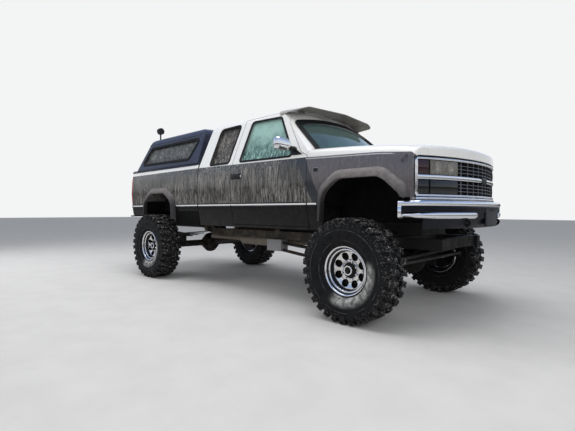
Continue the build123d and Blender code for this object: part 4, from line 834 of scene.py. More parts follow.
def through(x, stations, values):  # cubic through four stations, for whole arrays
    s = np.asarray(stations, float)
    total = 0
    for i in range(4):
        share = 1.0
        for j in range(4):
            if j != i:
                share = share * (x - s[j]) / (s[i] - s[j])
        total = total + share[..., None] * values[i]
    return total


def clipPoint(x, s):  # station in mm and share of the way from sill to hood edge, to y and z
    x, s = np.broadcast_arrays(np.asarray(x, float), np.asarray(s, float))
    rows = np.array(list(clip["rows"].values()), float)
    rows = np.concatenate([2 * rows[:, :1] - rows[:, 1:2], rows, 2 * rows[:, -1:] - rows[:, -2:-1]], 1)
    t = np.clip(s, 0, 1) * (rows.shape[1] - 3)
    i = np.minimum(t.astype(int), rows.shape[1] - 4)
    p = through(x, list(clip["rows"]), rows.reshape(4, -1)).reshape(x.shape + rows.shape[1:])
    near = (np.take_along_axis(p, (i + k)[..., None, None], -2)[..., 0, :] for k in range(4))
    return cubic(*near, (t - i)[..., None])


def onClip(x, yz):  # stations, half widths and heights in mm, to points on the right side
    return np.concatenate([st(x)[..., None], -yz[..., :1] / 1000, yz[..., 1:] / 1000], -1)


def clipShare(x, z):  # the share at which the section at station x reaches height z
    shares = np.linspace(0, 1, 241)
    heights = clipPoint(np.asarray(x, float)[:, None], shares[None])[..., 1]
    return np.array([np.interp(level, np.maximum.accumulate(row), shares) for row, level in zip(heights, z)])


# wheel openings in mm from their axle: station, height, corner radius
frontArch = [(-395, 700, 0), (-372, 1180, 190), (-200, 1316, 210), (270, 1316, 210), (470, 1140, 120),
             (505, 700, 0)]
fenderArch = [(-474, 700, 0), (-455, 815, 8), (-402, 895, 60)] + frontArch[1:]  # cut for the steered tyre
rearArch = [(-435, 640, 0), (-405, 1130, 150), (-215, 1272, 200), (215, 1272, 200), (405, 1130, 150),
            (435, 640, 0)]


def archLine(rows, low, frontLow, n):  # the opening's edge, rear foot to front foot, cut off at the feet
    line = even(rounded(rows, 16, closed=False), 400)
    keep = (line[:, 1] >= np.where(line[:, 0] < 0, low, frontLow))
    return even(line[keep], n)


def fenderShell():
    # rays from a middle point run from the wheel opening out to the panel's edges, in a flat map of the side
    arch = archLine(fenderArch, 812, 1112, 300)
    hub = np.array([50.0, 812.0])
    angle = np.arctan2(arch[:, 1] - hub[1], arch[:, 0] - hub[0])
    length = np.linalg.norm(arch - hub, axis=1)
    rear, front, top, shoulder = -585.0, 500.0, 1700.0, 1500.0  # top stands for the hood's edge
    corners = [np.arctan2(top - hub[1], x - hub[0]) for x in (rear, front)]
    ray = np.unique(np.r_[np.linspace(angle.max(), angle.min(), 150), corners])[::-1]
    c, s = np.cos(ray), np.maximum(np.sin(ray), 1e-6)
    near = hub + np.interp(ray, angle[::-1], length[::-1])[:, None] * np.stack([c, np.sin(ray)], 1)
    ends = np.where(c > 0, (front - hub[0]) / np.maximum(c, 1e-6), (rear - hub[0]) / np.minimum(c, -1e-6))
    far = hub + np.minimum(ends, (top - hub[1]) / s)[:, None] * np.stack([c, s], 1)
    onTop = far[:, 1] > top - 0.5
    shareFar = np.where(onTop, 1.0, clipShare(far[:, 0], np.minimum(far[:, 1], 1640)))
    upper = (~onTop) & (far[:, 1] > shoulder)
    atShoulder = clipShare([far[0, 0]], [shoulder])[0]
    shareFar = np.where(upper, np.interp(far[:, 1], [shoulder, top], [atShoulder, 1.0]), shareFar)
    w = np.linspace(0, 1, 40)[None]
    x = near[:, :1] * (1 - w) + far[:, :1] * w
    share = clipShare(near[:, 0], near[:, 1])[:, None] * (1 - w) + shareFar[:, None] * w
    return shell(onClip(x, clipPoint(x, share)), clip["wall"] / 1000, np.array([0, -1, 0.2]))


def fenderNose():  # the fender's front end: its side by the grille frame, its top rolled over
    z = np.linspace(1125, 1476, 16)[None]
    start = 499.5  # laps the fender panel's front edge by half a millimetre
    x = np.linspace(start, 560, 8)[:, None]
    shares = np.linspace(0, 1, 241)
    share = np.interp(z, np.maximum.accumulate(clipPoint(530.0, shares)[:, 1]), shares)
    beside = onClip(x + 0 * z, clipPoint(x, share))
    share = np.linspace(clipShare([500.0], [1474.0])[0], 1, 30)[None]
    roll = clip["roll"]
    here = clipPoint(545.0, share)
    nearby = clipPoint(545.0, np.clip(share + 0.004, 0, 1) - 0.008 * (share > 0.99))
    along = unit((nearby - here) * np.where(share > 0.99, -1, 1)[..., None])
    normal = np.stack([along[..., 1], -along[..., 0]], -1)
    tip = noseLine(here[..., 0] - normal[..., 0] * roll) - 1
    x = start + (tip - roll - start) * np.linspace(0, 1, 9)[:, None]
    yz = clipPoint(x, share)
    t = np.linspace(0, np.pi / 2, 9)[1:, None]
    rolled = yz[-1:] - normal * (roll * (1 - np.cos(t)))[..., None]
    y, z = rolled[-1:, :, 0], rolled[-1:, :, 1]
    steps = np.linspace(0, 1, 5)[1:, None]
    down = np.stack([y + 0 * steps, z + (np.minimum(z, clip["foot"]) - z) * steps], -1)
    x = np.concatenate([x, tip - roll + roll * np.sin(t), tip + 0 * steps])
    over = onClip(x, np.concatenate([yz, rolled, down]))
    return [shell(beside, 0.016, np.array([0, -1, 0])), shell(over, 0.016, np.array([0.3, -1, 0.6]))]


def hoodShell():
    half, r, roll = clip["hoodHalf"], clip["cowlRadius"], clip["roll"]
    spread = np.pi / 2 * 0.92
    y = np.sin(np.linspace(-1, 1, 61) * spread) / np.sin(spread) * half
    rear = clip["cowlX"] - r + np.sqrt(r ** 2 - y ** 2)
    nose = noseLine(y) - 1
    u = np.linspace(0, 1, 44)[:, None]
    x = rear + (nose - roll - rear) * u
    edge, middle = (through(x, list(clip["rows"]), np.array(clip[key], float)[:, None])[..., 0]
                    for key in ("edge", "crown"))
    z = edge + (middle - edge) * (1 - np.abs(y / half) ** 2.4)
    fade = np.clip(u * 5, 0, 1) * np.clip((1 - u) * 4 + 0.35, 0, 1)
    ridge = 1 / (1 + np.exp((np.abs(y) - (470 + 60 * (1 - u))) / 9))  # raised middle with a soft crease
    z = z - 9 * (1 - ridge) * fade
    turn = np.linspace(0, 1, 9)[1:, None] * np.pi / 2
    rolled = z[-1] - roll * (1 - np.cos(turn))
    down = np.linspace(0, 1, 6)[1:, None]
    x = np.concatenate([x, nose - roll + roll * np.sin(turn), nose + 0 * down])
    z = np.concatenate([z, rolled, rolled[-1] + (clip["foot"] - rolled[-1]) * down])
    points = np.stack([st(x), np.broadcast_to(y, x.shape) / 1000, z / 1000], -1)
    return shell(points, 0.022, np.array([0.2, 0, 1]))


build("hood_panel", hoodShell(), "hood", hoodPaint, 38, bevel=0.003, stands=("hood",))
fender = [fenderShell()] + fenderNose()
build("fenders_front", fender + [mirrored(p) for p in fender], "chassis", bodyPaint, 38,
      stands=("front_fenders",))


flares = dict(  # mm: how far the lips stand out round each opening and rise over it; metres: their base
    front=60, rear=53, rise=36, y=0.945)


def grownArch(rows, out, up):  # the flare's outer line: wider by out at the feet, by out + up at the top
    ends = [(-out, 0), (-out - 6, up * 1.9), (-out * 0.4, out + up), (out * 0.4, out + up), (out, up * 2.6),
            (out, 0)]
    return [(x + dx, z + dz, r) for (x, z, r), (dx, dz) in zip(rows, ends)]


def flare(rows, shift, out, low, frontLow, n=120):
    inner = archLine(rows, low, frontLow, n)
    outer = archLine(grownArch(rows, out, flares["rise"]), low, frontLow, n)
    bulge = curve([(1.0, -0.004), (0.93, 0.010), (0.78, 0.034), (0.55, 0.051), (0.30, 0.058), (0.08, 0.059),
                   (0.0, 0.054)], 22)
    ring = np.vstack([bulge, [(0.0, 0.0), (0.02, -0.012), (0.9, -0.012)]])
    flat = inner[:, None] + (outer - inner)[:, None] * ring[None, :, :1]
    y = -flares["y"] - ring[None, :, 1] + 0 * flat[..., 0]
    return bothWays([capped(np.stack([st(flat[..., 0] + shift), y, flat[..., 1] / 1000], -1))])


lips = flare(frontArch, 0, flares["front"], 905, 1125)
lips += flare(rearArch, -wheelbase, flares["rear"], 885, 885)
build("flare_lips", lips, "chassis", flarePlastic, 40, stands=("wheel_flares",))
print("stage: front clip made")


# Cab, doors, bed and topper: copies of the real pieces with trim added

def inward(middle):  # second finish where a face looks towards the middle of the space inside
    return lambda centre, normal: ((normal * (np.array(middle) - centre)).sum(1)
                                   > 0.12 * np.linalg.norm(np.array(middle) - centre, axis=1))


cabMiddle, topperMiddle = (0.42, 0, 1.52), (-1.55, 0, 1.85)


def cabFaces(centre, normal):
    inner = inward(cabMiddle)(centre, normal)
    under = (centre[:, 2] < 0.90) & (normal[:, 2] < -0.6)
    return np.where(inner, 1, np.where(under, 2, 0))


def bedFaces(centre, normal):
    box = (np.abs(centre[:, 1]) < 0.93) & (centre[:, 2] < 1.625)
    return np.where(box & (np.abs(normal[:, 1]) + np.abs(normal[:, 0]) + normal[:, 2] > 0), 1, 0)


def cabGlassFaces(centre, normal):  # 1 for the dirty side glass behind the doors
    return np.where((np.abs(centre[:, 1]) > 0.68) & (centre[:, 0] < 0.3), 1, 0)


for node, body, finish, bevel, choose in (
        ("cab_shell", "chassis", [bodyPaint, innerTrim, frameSteel], 0.004, cabFaces),
        ("door_left", "door_left", [bodyPaint, innerTrim], 0.004, inward(cabMiddle)),
        ("door_left_glass", "door_left", [doorGlass], 0.0, None),
        ("door_right", "door_right", [bodyPaint, innerTrim], 0.004, inward(cabMiddle)),
        ("door_right_glass", "door_right", [doorGlass], 0.0, None),
        ("cab_glass", "chassis", [screenGlass, dirtyGlass], 0.0, cabGlassFaces),
        ("bed_box", "chassis", [bodyPaint, linerBlack], 0.004, bedFaces),
        ("tailgate", "tailgate", [bodyPaint, linerBlack], 0.004, lambda c, n: (n[:, 0] > 0.5).astype(int)),
        ("tail_lamps", "chassis", [redLens], 0.003, None),
        ("rear_bumper", "chassis", [darkSteel], 0.006, None),
        ("topper_shell", "chassis", [topperBlue, innerTrim], 0.004, inward(topperMiddle)),
        ("topper_glass", "chassis", [topperGlass], 0.0, None),
        ("topper_hatch", "hatch", [topperBlue, innerTrim], 0.003, inward(topperMiddle)),
        ("roof_lamp", "chassis", [blackPlastic], 0.004, None),
        ("sun_visor", "chassis", [visorPlastic], 0.0, None),
        ("engine_bay_panels", "chassis", [linerBlack], 0.0, None),
        ("dashboard", "chassis", [dashPlastic], 0.006, None)):
    dress(node, body, finish, bevel, choose)
dress("steering_wheel", "steering_wheel", [blackPlastic], 0.003, angle=50)
print("stage: body dressed")


# Trim on the body's sides

sideTrim = dict(  # mm: each moulding's low, high and out; its stretches on body and doors
    # the base's black band above the bright insert is a painted shadow line over the insert
    base=(1056, 1106, 4), bright=(1072, 1090, 9),
    body=[(-4518, -4100), (-3092, -2566), (-2538, -1833), (-580, -464)], door=[(-1818, -600)])
mirror = dict(  # metres: the right mirror head's middle and half sizes
    x=1.100, y=1.090, z=1.702, deep=0.045, long=0.104, tall=0.064)


def sideY(z):  # half width of the body's side at a height, both in mm
    return np.interp(z, [812, 1030, 1290, 1500, 1606, 2150], [905, 945, 965, 955, 930, 735])


def topperY(z):
    return np.interp(z, [1634, 1700, 2180], [930, 918, 760])


def seal(corners, widthAt, wide, high):  # rubber round a window on the right side
    line = evenLoop(corners, 7, 170)
    path = np.column_stack([st(line[:, 0]), -widthAt(line[:, 1]) / 1000, line[:, 1] / 1000])
    return sweep(path, pill(wide, high), (0, -1, 0.34), closed=True)


doorWindow = [(-1691, 1603, 30), (-797, 1592, 30), (-1140, 2088, 60), (-1640, 2104, 40)]
quarterWindow = [(-2300, 1606, 30), (-1902, 1606, 30), (-1856, 2098, 40), (-2262, 2092, 60)]
topperWindow = [(-4235, 1755, 40), (-2850, 1735, 40), (-2700, 2030, 40), (-4085, 2030, 60)]


def moulding(kind, stretches):  # a strip along the body's side between stations, on the right side
    low, high, out = sideTrim[kind]
    y = min(sideY(low), sideY(high))
    return [boxes([(at(start), at(end), -(y + out) / 1000, -(y - 6) / 1000, low / 1000, high / 1000)], 0.0025)
            for start, end in stretches]


def doorHandle():
    return [boxes([(at(-1797), at(-1658), -0.9805, -0.950, 1.400, 1.442)], 0.007),
            boxes([(at(-1812), at(-1645), -0.9665, -0.950, 1.392, 1.458)], 0.006)]


def doorLock():
    return [turned((at(-1630), -0.956, 1.425), (at(-1630), -0.9665, 1.425),
                   [(0.011, 0), (0.011, 0.8), (0.009, 1.0)], 20)]


def mirrorFoot():  # the black sail in the window's front corner and the arm on it
    z = np.array([1599.0, 1640, 1680, 1716])[:, None]
    ahead, behind = np.interp(z, [1599, 1716], [-664, -868]), np.interp(z, [1599, 1716], [-806, -884])
    x = behind + (ahead - behind) * np.linspace(0, 1, 6)[None]
    sail = onClip(x, np.stack(np.broadcast_arrays(sideY(z) + 6, z + 0 * x), -1))
    return [shell(sail, 0.005, np.array([0, -1, 0.3])),
            boxes([(1.078, 1.150, -0.998, -0.915, 1.645, 1.688)], 0.012)]


def mirrorHead():  # rounded box: rings shrink toward both ends, flatter behind than ahead
    m = mirror
    s = np.linspace(-1, 1, 25)[:, None]
    a = np.linspace(0, 2 * np.pi, 40, endpoint=False)[None]
    scale = (1 - np.abs(s) ** 5 * 0.985) ** (1 / 3)
    ca, sa = np.cos(a), np.sin(a)
    x = m["deep"] * scale * np.sign(ca) * np.abs(ca) ** np.where(ca < 0, 0.35, 0.85)
    z = m["tall"] * scale * np.sign(sa) * np.abs(sa) ** 0.72 + 0.008 * s * (sa > 0)
    return [capped(np.stack([m["x"] + x, -m["y"] - m["long"] * s + 0 * a, m["z"] + z], -1))]


build("side_moulding_base", bothWays(moulding("base", sideTrim["body"])), "chassis", blackPlastic)
build("side_moulding_bright", bothWays(moulding("bright", sideTrim["body"])), "chassis", brightStrip)
for hand in ("right", "left"):
    door = "door_" + hand
    one = (lambda parts: [mirrored(p) for p in parts]) if hand == "left" else (lambda parts: parts)
    build(door + "_moulding_base", one(moulding("base", sideTrim["door"])), door, blackPlastic)
    build(door + "_moulding_bright", one(moulding("bright", sideTrim["door"])), door, brightStrip)
    build(door + "_window_seal", one([seal(doorWindow, sideY, 0.026, 0.005)]), door, blackRubber)
    build(door + "_handle_black", one(doorHandle()), door, blackPlastic)
    build(door + "_lock", one(doorLock()), door, chromePlate)
    build(door + "_mirror_foot", one(mirrorFoot()), door, blackPlastic)
    build("mirror_" + hand + "_head", one(mirrorHead()), door, chromePlate, 60, stands=("mirror_" + hand,))
    build("mirror_" + hand + "_glass", one([boxes([(1.0535, 1.0565, -1.178, -1.002, 1.655, 1.750)], 0.0012)]),
          door, mirrorGlass)
build("quarter_window_seals", bothWays([seal(quarterWindow, sideY, 0.030, 0.005)]), "chassis", blackRubber)
build("topper_window_frames", bothWays([seal(topperWindow, topperY, 0.045, 0.007)]), "chassis", blackRubber)
rail = [boxes([(at(-4515), at(-2600), -(930 + out) / 1000, -0.905, low / 1000, high / 1000)], 0.003)
        for low, high, out in ((1634, 1655, 9), (1662, 1668, 5))]
build("topper_base_rail", bothWays(rail), "chassis", topperBlue)
gutter = even([(-4180, 2092), (-2720, 2092)], 20)
path = np.column_stack([st(gutter[:, 0]), -(topperY(gutter[:, 1]) - 1) / 1000, gutter[:, 1] / 1000])
build("topper_rain_rail", bothWays([sweep(path, pill(0.020, 0.007), (0, -1, 0.34))]), "chassis", topperBlue)
build("fender_badge_rim", bothWays([boxes([(at(-500), at(-428), -0.966, -0.950, 1.392, 1.446)], 0.004)]),
      "chassis", grilleMetal)
build("fender_badge_blank", bothWays([boxes([(at(-493), at(-435), -0.9675, -0.950, 1.399, 1.439)], 0.003)]),
      "chassis", blackPlastic)

screen = dict(  # metres: the windscreen's foot, unit vectors up it and out of it, drum radius
    foot=np.array([1.524, 0, 1.650]), up=np.array([-0.7685, 0, 0.6399]), out=np.array([0.6399, 0, 0.7685]),
    radius=2.8)


def onScreen(y, u, lift=0.0):  # half width and way up the windscreen in metres, to points
    s = screen
    y, u = np.broadcast_arrays(np.asarray(y, float), np.asarray(u, float))
    sunk = lift - (s["radius"] - np.sqrt(s["radius"] ** 2 - y ** 2))
    points = s["foot"] + u[..., None] * s["up"] + np.asarray(sunk)[..., None] * s["out"]
    points[..., 1] = y
    return points


loop = evenLoop([(-0.803, 0.060, 0.07), (0.803, 0.060, 0.07), (0.704, 0.672, 0.08),
                 (-0.704, 0.672, 0.08)], 8, 240)
build("windscreen_seal", sweep(onScreen(*loop.T, -0.001), pill(0.094, 0.005), screen["out"], closed=True),
      "chassis", blackRubber)
yy, uu = np.meshgrid(np.linspace(-0.80, 0.80, 40), [0.012, 0.052], indexing="ij")
build("cowl_grille", [shell(onScreen(yy, uu, 0.003), 0.003, screen["out"])], "chassis", blackPlastic)
wipers = []
for base, tip in ((-0.56, 0.02), (0.02, 0.60)):  # half widths of each wiper's pivot and arm end
    arm = curve([onScreen(base, 0.03, 0.018), onScreen(base * 0.7 + tip * 0.3, 0.075, 0.022),
                 onScreen(base * 0.4 + tip * 0.6, 0.125, 0.014)], 14)
    blade = onScreen(np.linspace(base + 0.04, tip + 0.06, 16), np.linspace(0.105, 0.155, 16), 0.002)
    wipers += [sweep(arm, pill(0.012, 0.008, -0.004), screen["out"]),
               sweep(blade, pill(0.010, 0.011), screen["out"]),
               turned(onScreen(base, 0.03), onScreen(base, 0.03, 0.026),
                      [(0.016, 0), (0.016, 0.8), (0.010, 1)], 16)]
build("wipers", wipers, "chassis", blackPlastic)
print("stage: trim made")


# Seats

seat = dict(  # metres; how far and how hard the pads swell, and the channels sewn into them
    voxel=0.0135, cap=0.012, pressure=4.0, frames=20, seamDepth=0.007, seamWidth=0.010)


def softPrism(rows, low, high):  # a rounded side outline carried across, its ends drawn in
    flat = rounded(rows, 6)
    mid = flat.mean(0)
    size = np.abs(flat - mid).max(0)
    rings = []
    for y, draw in ((low, 0.045), (low + 0.010, 0.018), (low + 0.030, 0.0), (high - 0.030, 0.0),
                    (high - 0.010, 0.018), (high, 0.045)):
        ring = mid + (flat - mid) * (1 - draw * 1000 / size)
        rings.append(np.column_stack([st(ring[:, 0]), np.full(len(ring), y), ring[:, 1] / 1000]))
    return capped(np.array(rings))


def applied(obj):  # the object's mesh with its modifiers worked in
    graph = bpy.context.evaluated_depsgraph_get()
    mesh = bpy.data.meshes.new_from_object(obj.evaluated_get(graph), preserve_all_data_layers=False,
                                           depsgraph=graph)
    obj.modifiers.clear()
    obj.data = mesh
    return mesh


def swell(part):  # remeshes a pad and lets a short cloth simulation blow it up by a capped way
    obj = linked("pad", meshOf("pad", *part))
    m = obj.modifiers.new("remesh", "REMESH")
    m.mode, m.voxel_size = "VOXEL", seat["voxel"]
    mesh = applied(obj)
    before = coordinates(mesh)
    m = obj.modifiers.new("cloth", "CLOTH")
    m.settings.quality = 4
    m.settings.use_pressure = True
    m.settings.uniform_pressure_force = seat["pressure"]
    m.settings.effector_weights.gravity = 0.0
    m.point_cache.frame_start, m.point_cache.frame_end = 1, seat["frames"]
    for frameNumber in range(1, seat["frames"] + 1):
        bpy.context.scene.frame_set(frameNumber)
    mesh = applied(obj)
    bpy.context.scene.frame_set(1)
    move = coordinates(mesh) - before
    far = np.linalg.norm(move, axis=1, keepdims=True)
    after = before + move * np.minimum(1.0, seat["cap"] / np.maximum(far, 1e-9))
    faces = [tuple(p.vertices) for p in mesh.polygons]
    bpy.data.objects.remove(obj)
    return after, faces


def channels(co, across, upwards):  # sewn channels pressed in along lines of one half width
    depth = 0.0
    for line in across:
        depth = depth + seat["seamDepth"] * np.exp(-((co[:, 1] - line) / seat["seamWidth"]) ** 2)
    return co - depth[:, None] * np.asarray(upwards)


def pad(name, part, faces, material):
    mesh = meshOf(name, part, faces)
    bm = bmesh.new()
    bm.from_mesh(mesh)
    bmesh.ops.recalc_face_normals(bm, faces=bm.faces)
    bm.to_mesh(mesh)
    bm.free()
    obj = finishPiece(name, mesh, "chassis", material, smooth=80, sub=1)


cushionRows = [(-1575, 905, 30), (-1122, 905, 40), (-1108, 1178, 80), (-1490, 1158, 60)]
backRows = [(-1500, 1140, 60), (-1652, 1150, 60), (-1762, 1735, 40), (-1668, 1755, 45)]
benchCushion = [(-2340, 905, 30), (-1972, 905, 30), (-1955, 1160, 60), (-2285, 1140, 50)]
benchBack = [(-2290, 1125, 40), (-2400, 1140, 40), (-2455, 1590, 25), (-2395, 1605, 30)]
frontSeams, benchSeams = (0.24, 0.485), (-0.35, 0.0, 0.35)
for name, rows, low, high, seams, way in (
        ("front_cushion", cushionRows, 0.105, 0.620, frontSeams, (0, 0, 1)),
        ("front_back", backRows, 0.105, 0.620, frontSeams, (0.97, 0, 0.2)),
        ("bench_cushion", benchCushion, -0.685, 0.685, benchSeams, (0, 0, 1)),
        ("bench_back", benchBack, -0.685, 0.685, benchSeams, (0.97, 0, 0.1))):
    co, faces = swell(softPrism(rows, low, high))
    co = channels(co, seams, way)
    pad("seat_" + name + ("_left" if low > 0 else ""), co, faces, seatCloth)
    if low > 0:
        pad("seat_" + name + "_right", co * [1, -1, 1], [face[::-1] for face in faces], seatCloth)
base = [boxes([(at(-1560), at(-1140), 0.14, 0.585, 0.838, 0.905)], 0.01),
        boxes([(at(-1590), at(-1130), 0.15, 0.19, 0.815, 0.845)], 0.005),
        boxes([(at(-1590), at(-1130), 0.535, 0.575, 0.815, 0.845)], 0.005)]
bench = boxes([(at(-2330), at(-1985), -0.67, 0.67, 0.825, 0.90)], 0.01)
build("seat_bases", bothWays(base) + [bench], "chassis", seatEdge, stands=("seats",))
print("stage: seats made")


# Front end

nose = dict(  # mm: half widths and heights of the grille's frame, bar and openings
    half=915, low=1144, high=1452, barLow=1277, barHigh=1316, grilleHalf=472, lampHalf=796, bars=3, posts=4,
    postPitch=104.0)
lamp = dict(  # mm: the bowls' half widths, height and depths; the lenses' low and high edges each way
    bowls=(558.0, 706.0), height=1380, depths=(17, 57), head=(482, 787), corner=(804, 902),
    upper=(1320, 1438), lower=(1158, 1273))
bumper = dict(  # mm: the arc's station and radius, where the sides end, half width and corner radius
    x=890, radius=1800, end=430, half=968, corner=150)


def onNose(y, z, depth=0.0):  # half widths and heights in mm, sunk behind the nose's arc, to points
    y, z, depth = np.broadcast_arrays(np.asarray(y, float), np.asarray(z, float), np.asarray(depth, float))
    return np.stack([st(noseLine(y, depth)), y / 1000, z / 1000], -1)


def noseBar(low, high, profile, n=60):  # profile (height, depth) carried across the nose
    p = np.asarray(profile, float)
    y = np.linspace(low, high, n)[:, None]
    return capped(onNose(y, p[None, :, 0], p[None, :, 1]))


def nosePost(y, low, high, half, near, deep):  # an upright bar in the grille
    p = np.array([(-half, deep), (-half, near + 1), (-half + 1, near), (half - 1, near), (half, near + 1),
                  (half, deep)])
    z = np.linspace(low, high, 4)[:, None]
    return capped(onNose(y + p[None, :, 0], z, p[None, :, 1]))


def noseSheet(y, z, depth, wall):  # a sheet on the nose's arc from half widths and heights in mm
    yy, zz = np.meshgrid(np.asarray(y, float), np.asarray(z, float), indexing="ij")
    return shell(onNose(yy, zz, depth), wall, np.array([1, 0, 0]))


def noseRing(half, low, high, radius, profile):  # a frame round the nose; profile (out of the line, depth)
    line = evenLoop([(-half, low, radius), (half, low, radius), (half, high, radius),
                     (-half, high, radius)], 7, 240)
    along = unit(np.roll(line, -1, 0) - np.roll(line, 1, 0))
    out = np.column_stack([along[:, 1], -along[:, 0]])
    p = np.asarray(profile, float)
    flat = line[:, None] + out[:, None] * p[None, :, :1]
    return grid(onNose(flat[..., 0], flat[..., 1], p[None, :, 1]), wrapU=True, wrapV=True)


def bumperArc(y):  # station of the bumper's face at half width y
    return bumper["x"] - bumper["radius"] + np.sqrt(bumper["radius"] ** 2 - np.asarray(y, float) ** 2)


def bumperPlan(start=-bumper["half"], stop=bumper["half"], n=160):  # the outline from above
    b = bumper
    inner = b["half"] - b["corner"] * 1.15
    corner = float(bumperArc(b["half"]))
    rows = [(b["end"], -b["half"], 0), (corner, -b["half"], b["corner"])]
    rows += [(float(bumperArc(y)), y, 0) for y in np.linspace(-inner, inner, 61)]
    rows += [(corner, b["half"], b["corner"]), (b["end"], b["half"], 0)]
    line = even(rounded(rows, 12, closed=False), 700)
    if start > -b["half"]:
        line = line[line[:, 1] >= start]
    if stop < b["half"]:
        line = line[line[:, 1] <= stop]
    return even(line, n)


def planSweep(plan, profile, taper=0.0, growing=0.0):  # profile (height, inset) carried along a plan outline
    along = unit(np.gradient(plan, axis=0))
    inward = np.column_stack([-along[:, 1], along[:, 0]])
    p = np.asarray(profile, float)
    run = np.r_[0, np.cumsum(np.linalg.norm(np.diff(plan, axis=0), axis=1))]
    share = np.ones(len(plan))
    if taper:  # the last stretch closes in a half round
        left = np.clip((run[-1] - run) / taper, 0, 1)
        share = np.sqrt(np.maximum(1 - (1 - left) ** 2, 0.02))
    if growing:  # the first stretch starts at half its height
        share = share * (0.5 + 0.5 * np.sin(np.clip(run / growing, 0, 1) * np.pi / 2) ** 2)
    mid = (p[:, 0].max() + p[:, 0].min()) / 2
    z = mid + (p[None, :, 0] - mid) * share[:, None]
    inset = p[:, 1].max() + (p[None, :, 1] - p[:, 1].max()) * share[:, None] ** 0.5
    flat = plan[:, None] + inward[:, None] * inset[..., None]
    return capped(np.stack([st(flat[..., 0]), flat[..., 1] / 1000, z / 1000], -1))


def roundBar(low, high, near, deep):  # a bar's section with rolled edges: (height, depth)
    r = min(8.0, (high - low) / 2.2)
    return [(low, deep), (low, near + r), (low + r * 0.3, near + r * 0.3), (low + r, near), (high - r, near),
            (high - r * 0.3, near + r * 0.3), (high, near + r), (high, deep)]


def grillePieces():
    n = nose
    frame = [noseRing(n["half"], n["low"], n["high"], 16,
                      [(-10, 70), (-10, 9), (-8, 3), (-3, 0), (4, 0), (9, 4), (10, 10), (10, 70)]),
             noseBar(-908, -62, roundBar(n["barLow"], n["barHigh"], 1, 45)),
             noseBar(62, 908, roundBar(n["barLow"], n["barHigh"], 1, 45)),
             noseBar(-930, 930, roundBar(1105, 1129, -6, 40))]
    pad = [noseBar(-64, 64, roundBar(n["barLow"] - 14, n["barHigh"] + 14, -2, 45), 14)]
    bars, posts = [], []
    for low, high in ((n["low"] + 10, n["barLow"]), (n["barHigh"], n["high"] - 10)):
        pitch = (high - low) / (n["bars"] + 1)
        for k in range(1, n["bars"] + 1):
            z = low + pitch * k
            bars.append(noseBar(-n["grilleHalf"], n["grilleHalf"], roundBar(z - 2.4, z + 2.4, 16, 27), 40))
        for k in range(-n["posts"], n["posts"] + 1):
            bars.append(nosePost(k * n["postPitch"], low, high, 1.6, 18, 24))
        for y in (-n["grilleHalf"], n["grilleHalf"], -n["lampHalf"], n["lampHalf"]):
            posts.append(nosePost(y, low, high, 7, 12, 62))
    walls = [noseSheet(np.linspace(-905, 905, 60), (1152, 1280), 60, 0.004),
             noseSheet(np.linspace(-905, 905, 60), (1313, 1444), 60, 0.004)]
    return frame, pad, bars, posts, walls


def lampPieces():
    # reflector bowls with bulbs behind the clear upper lenses, dark lenses below, markers outside
    bowls, bulbs, clear, dark, marker = [], [], [], [], []
    for y in lamp["bowls"]:
        face, back = (onNose(y, lamp["height"], depth) for depth in lamp["depths"])
        bowls.append(turned(back, face, [(0.010, 0.10), (0.026, 0.16), (0.042, 0.42), (0.053, 0.98),
                                         (0.057, 1.0), (0.057, 0.92), (0.044, 0.30), (0.020, 0.0)], 32))
        bulbs.append(turned(back, face, [(0.004, 0.1), (0.008, 0.2), (0.008, 0.62), (0.005, 0.75)], 12))
    for group, wide, tall in ((clear, "head", "upper"), (dark, "head", "lower"),
                              (marker, "corner", "upper"), (dark, "corner", "lower")):
        (y0, y1), (z0, z1) = lamp[wide], lamp[tall]
        yy, zz = np.meshgrid(np.linspace(y0, y1, 12), [z0, z0 + 3, (z0 + z1) / 2, z1 - 3, z1], indexing="ij")
        group.append(shell(onNose(yy, zz, [[13, 10, 8, 10, 13]]), 0.004, np.array([1, 0, 0])))
    for y in (500, 632, 768):
        dark.append(nosePost(float(y), 1322, 1436, 4, 46, 58))
    return [bothWays(group) for group in (bowls, bulbs, clear, dark, marker)]


frameParts, padParts, barParts, postParts, wallParts = grillePieces()
bowlParts, bulbParts, clearParts, darkParts, markerParts = lampPieces()
for name, parts, material, smooth, stands in (
        ("grille_frame", frameParts, chromePlate, 50, ("grille",)),
        ("grille_pad", padParts, blackPlastic, 40, ()),
        ("grille_bars", barParts, grilleMetal, 40, ()),
        ("grille_posts", postParts, linerBlack, 30, ()),
        ("grille_walls", wallParts, linerBlack, 40, ()),
        ("headlamp_reflectors", bowlParts, bowlMetal, 50, ()),
        ("headlamp_bulbs", bulbParts, clearLens, 50, ()),
        ("headlamp_lenses", clearParts, clearLens, 50, ("headlamps",)),
        ("headlamp_dark_lenses", darkParts, darkLens, 50, ()),
        ("front_marker_lenses", markerParts, markerDark, 50, ())):
    build(name, parts, "chassis", material, smooth, stands=stands)

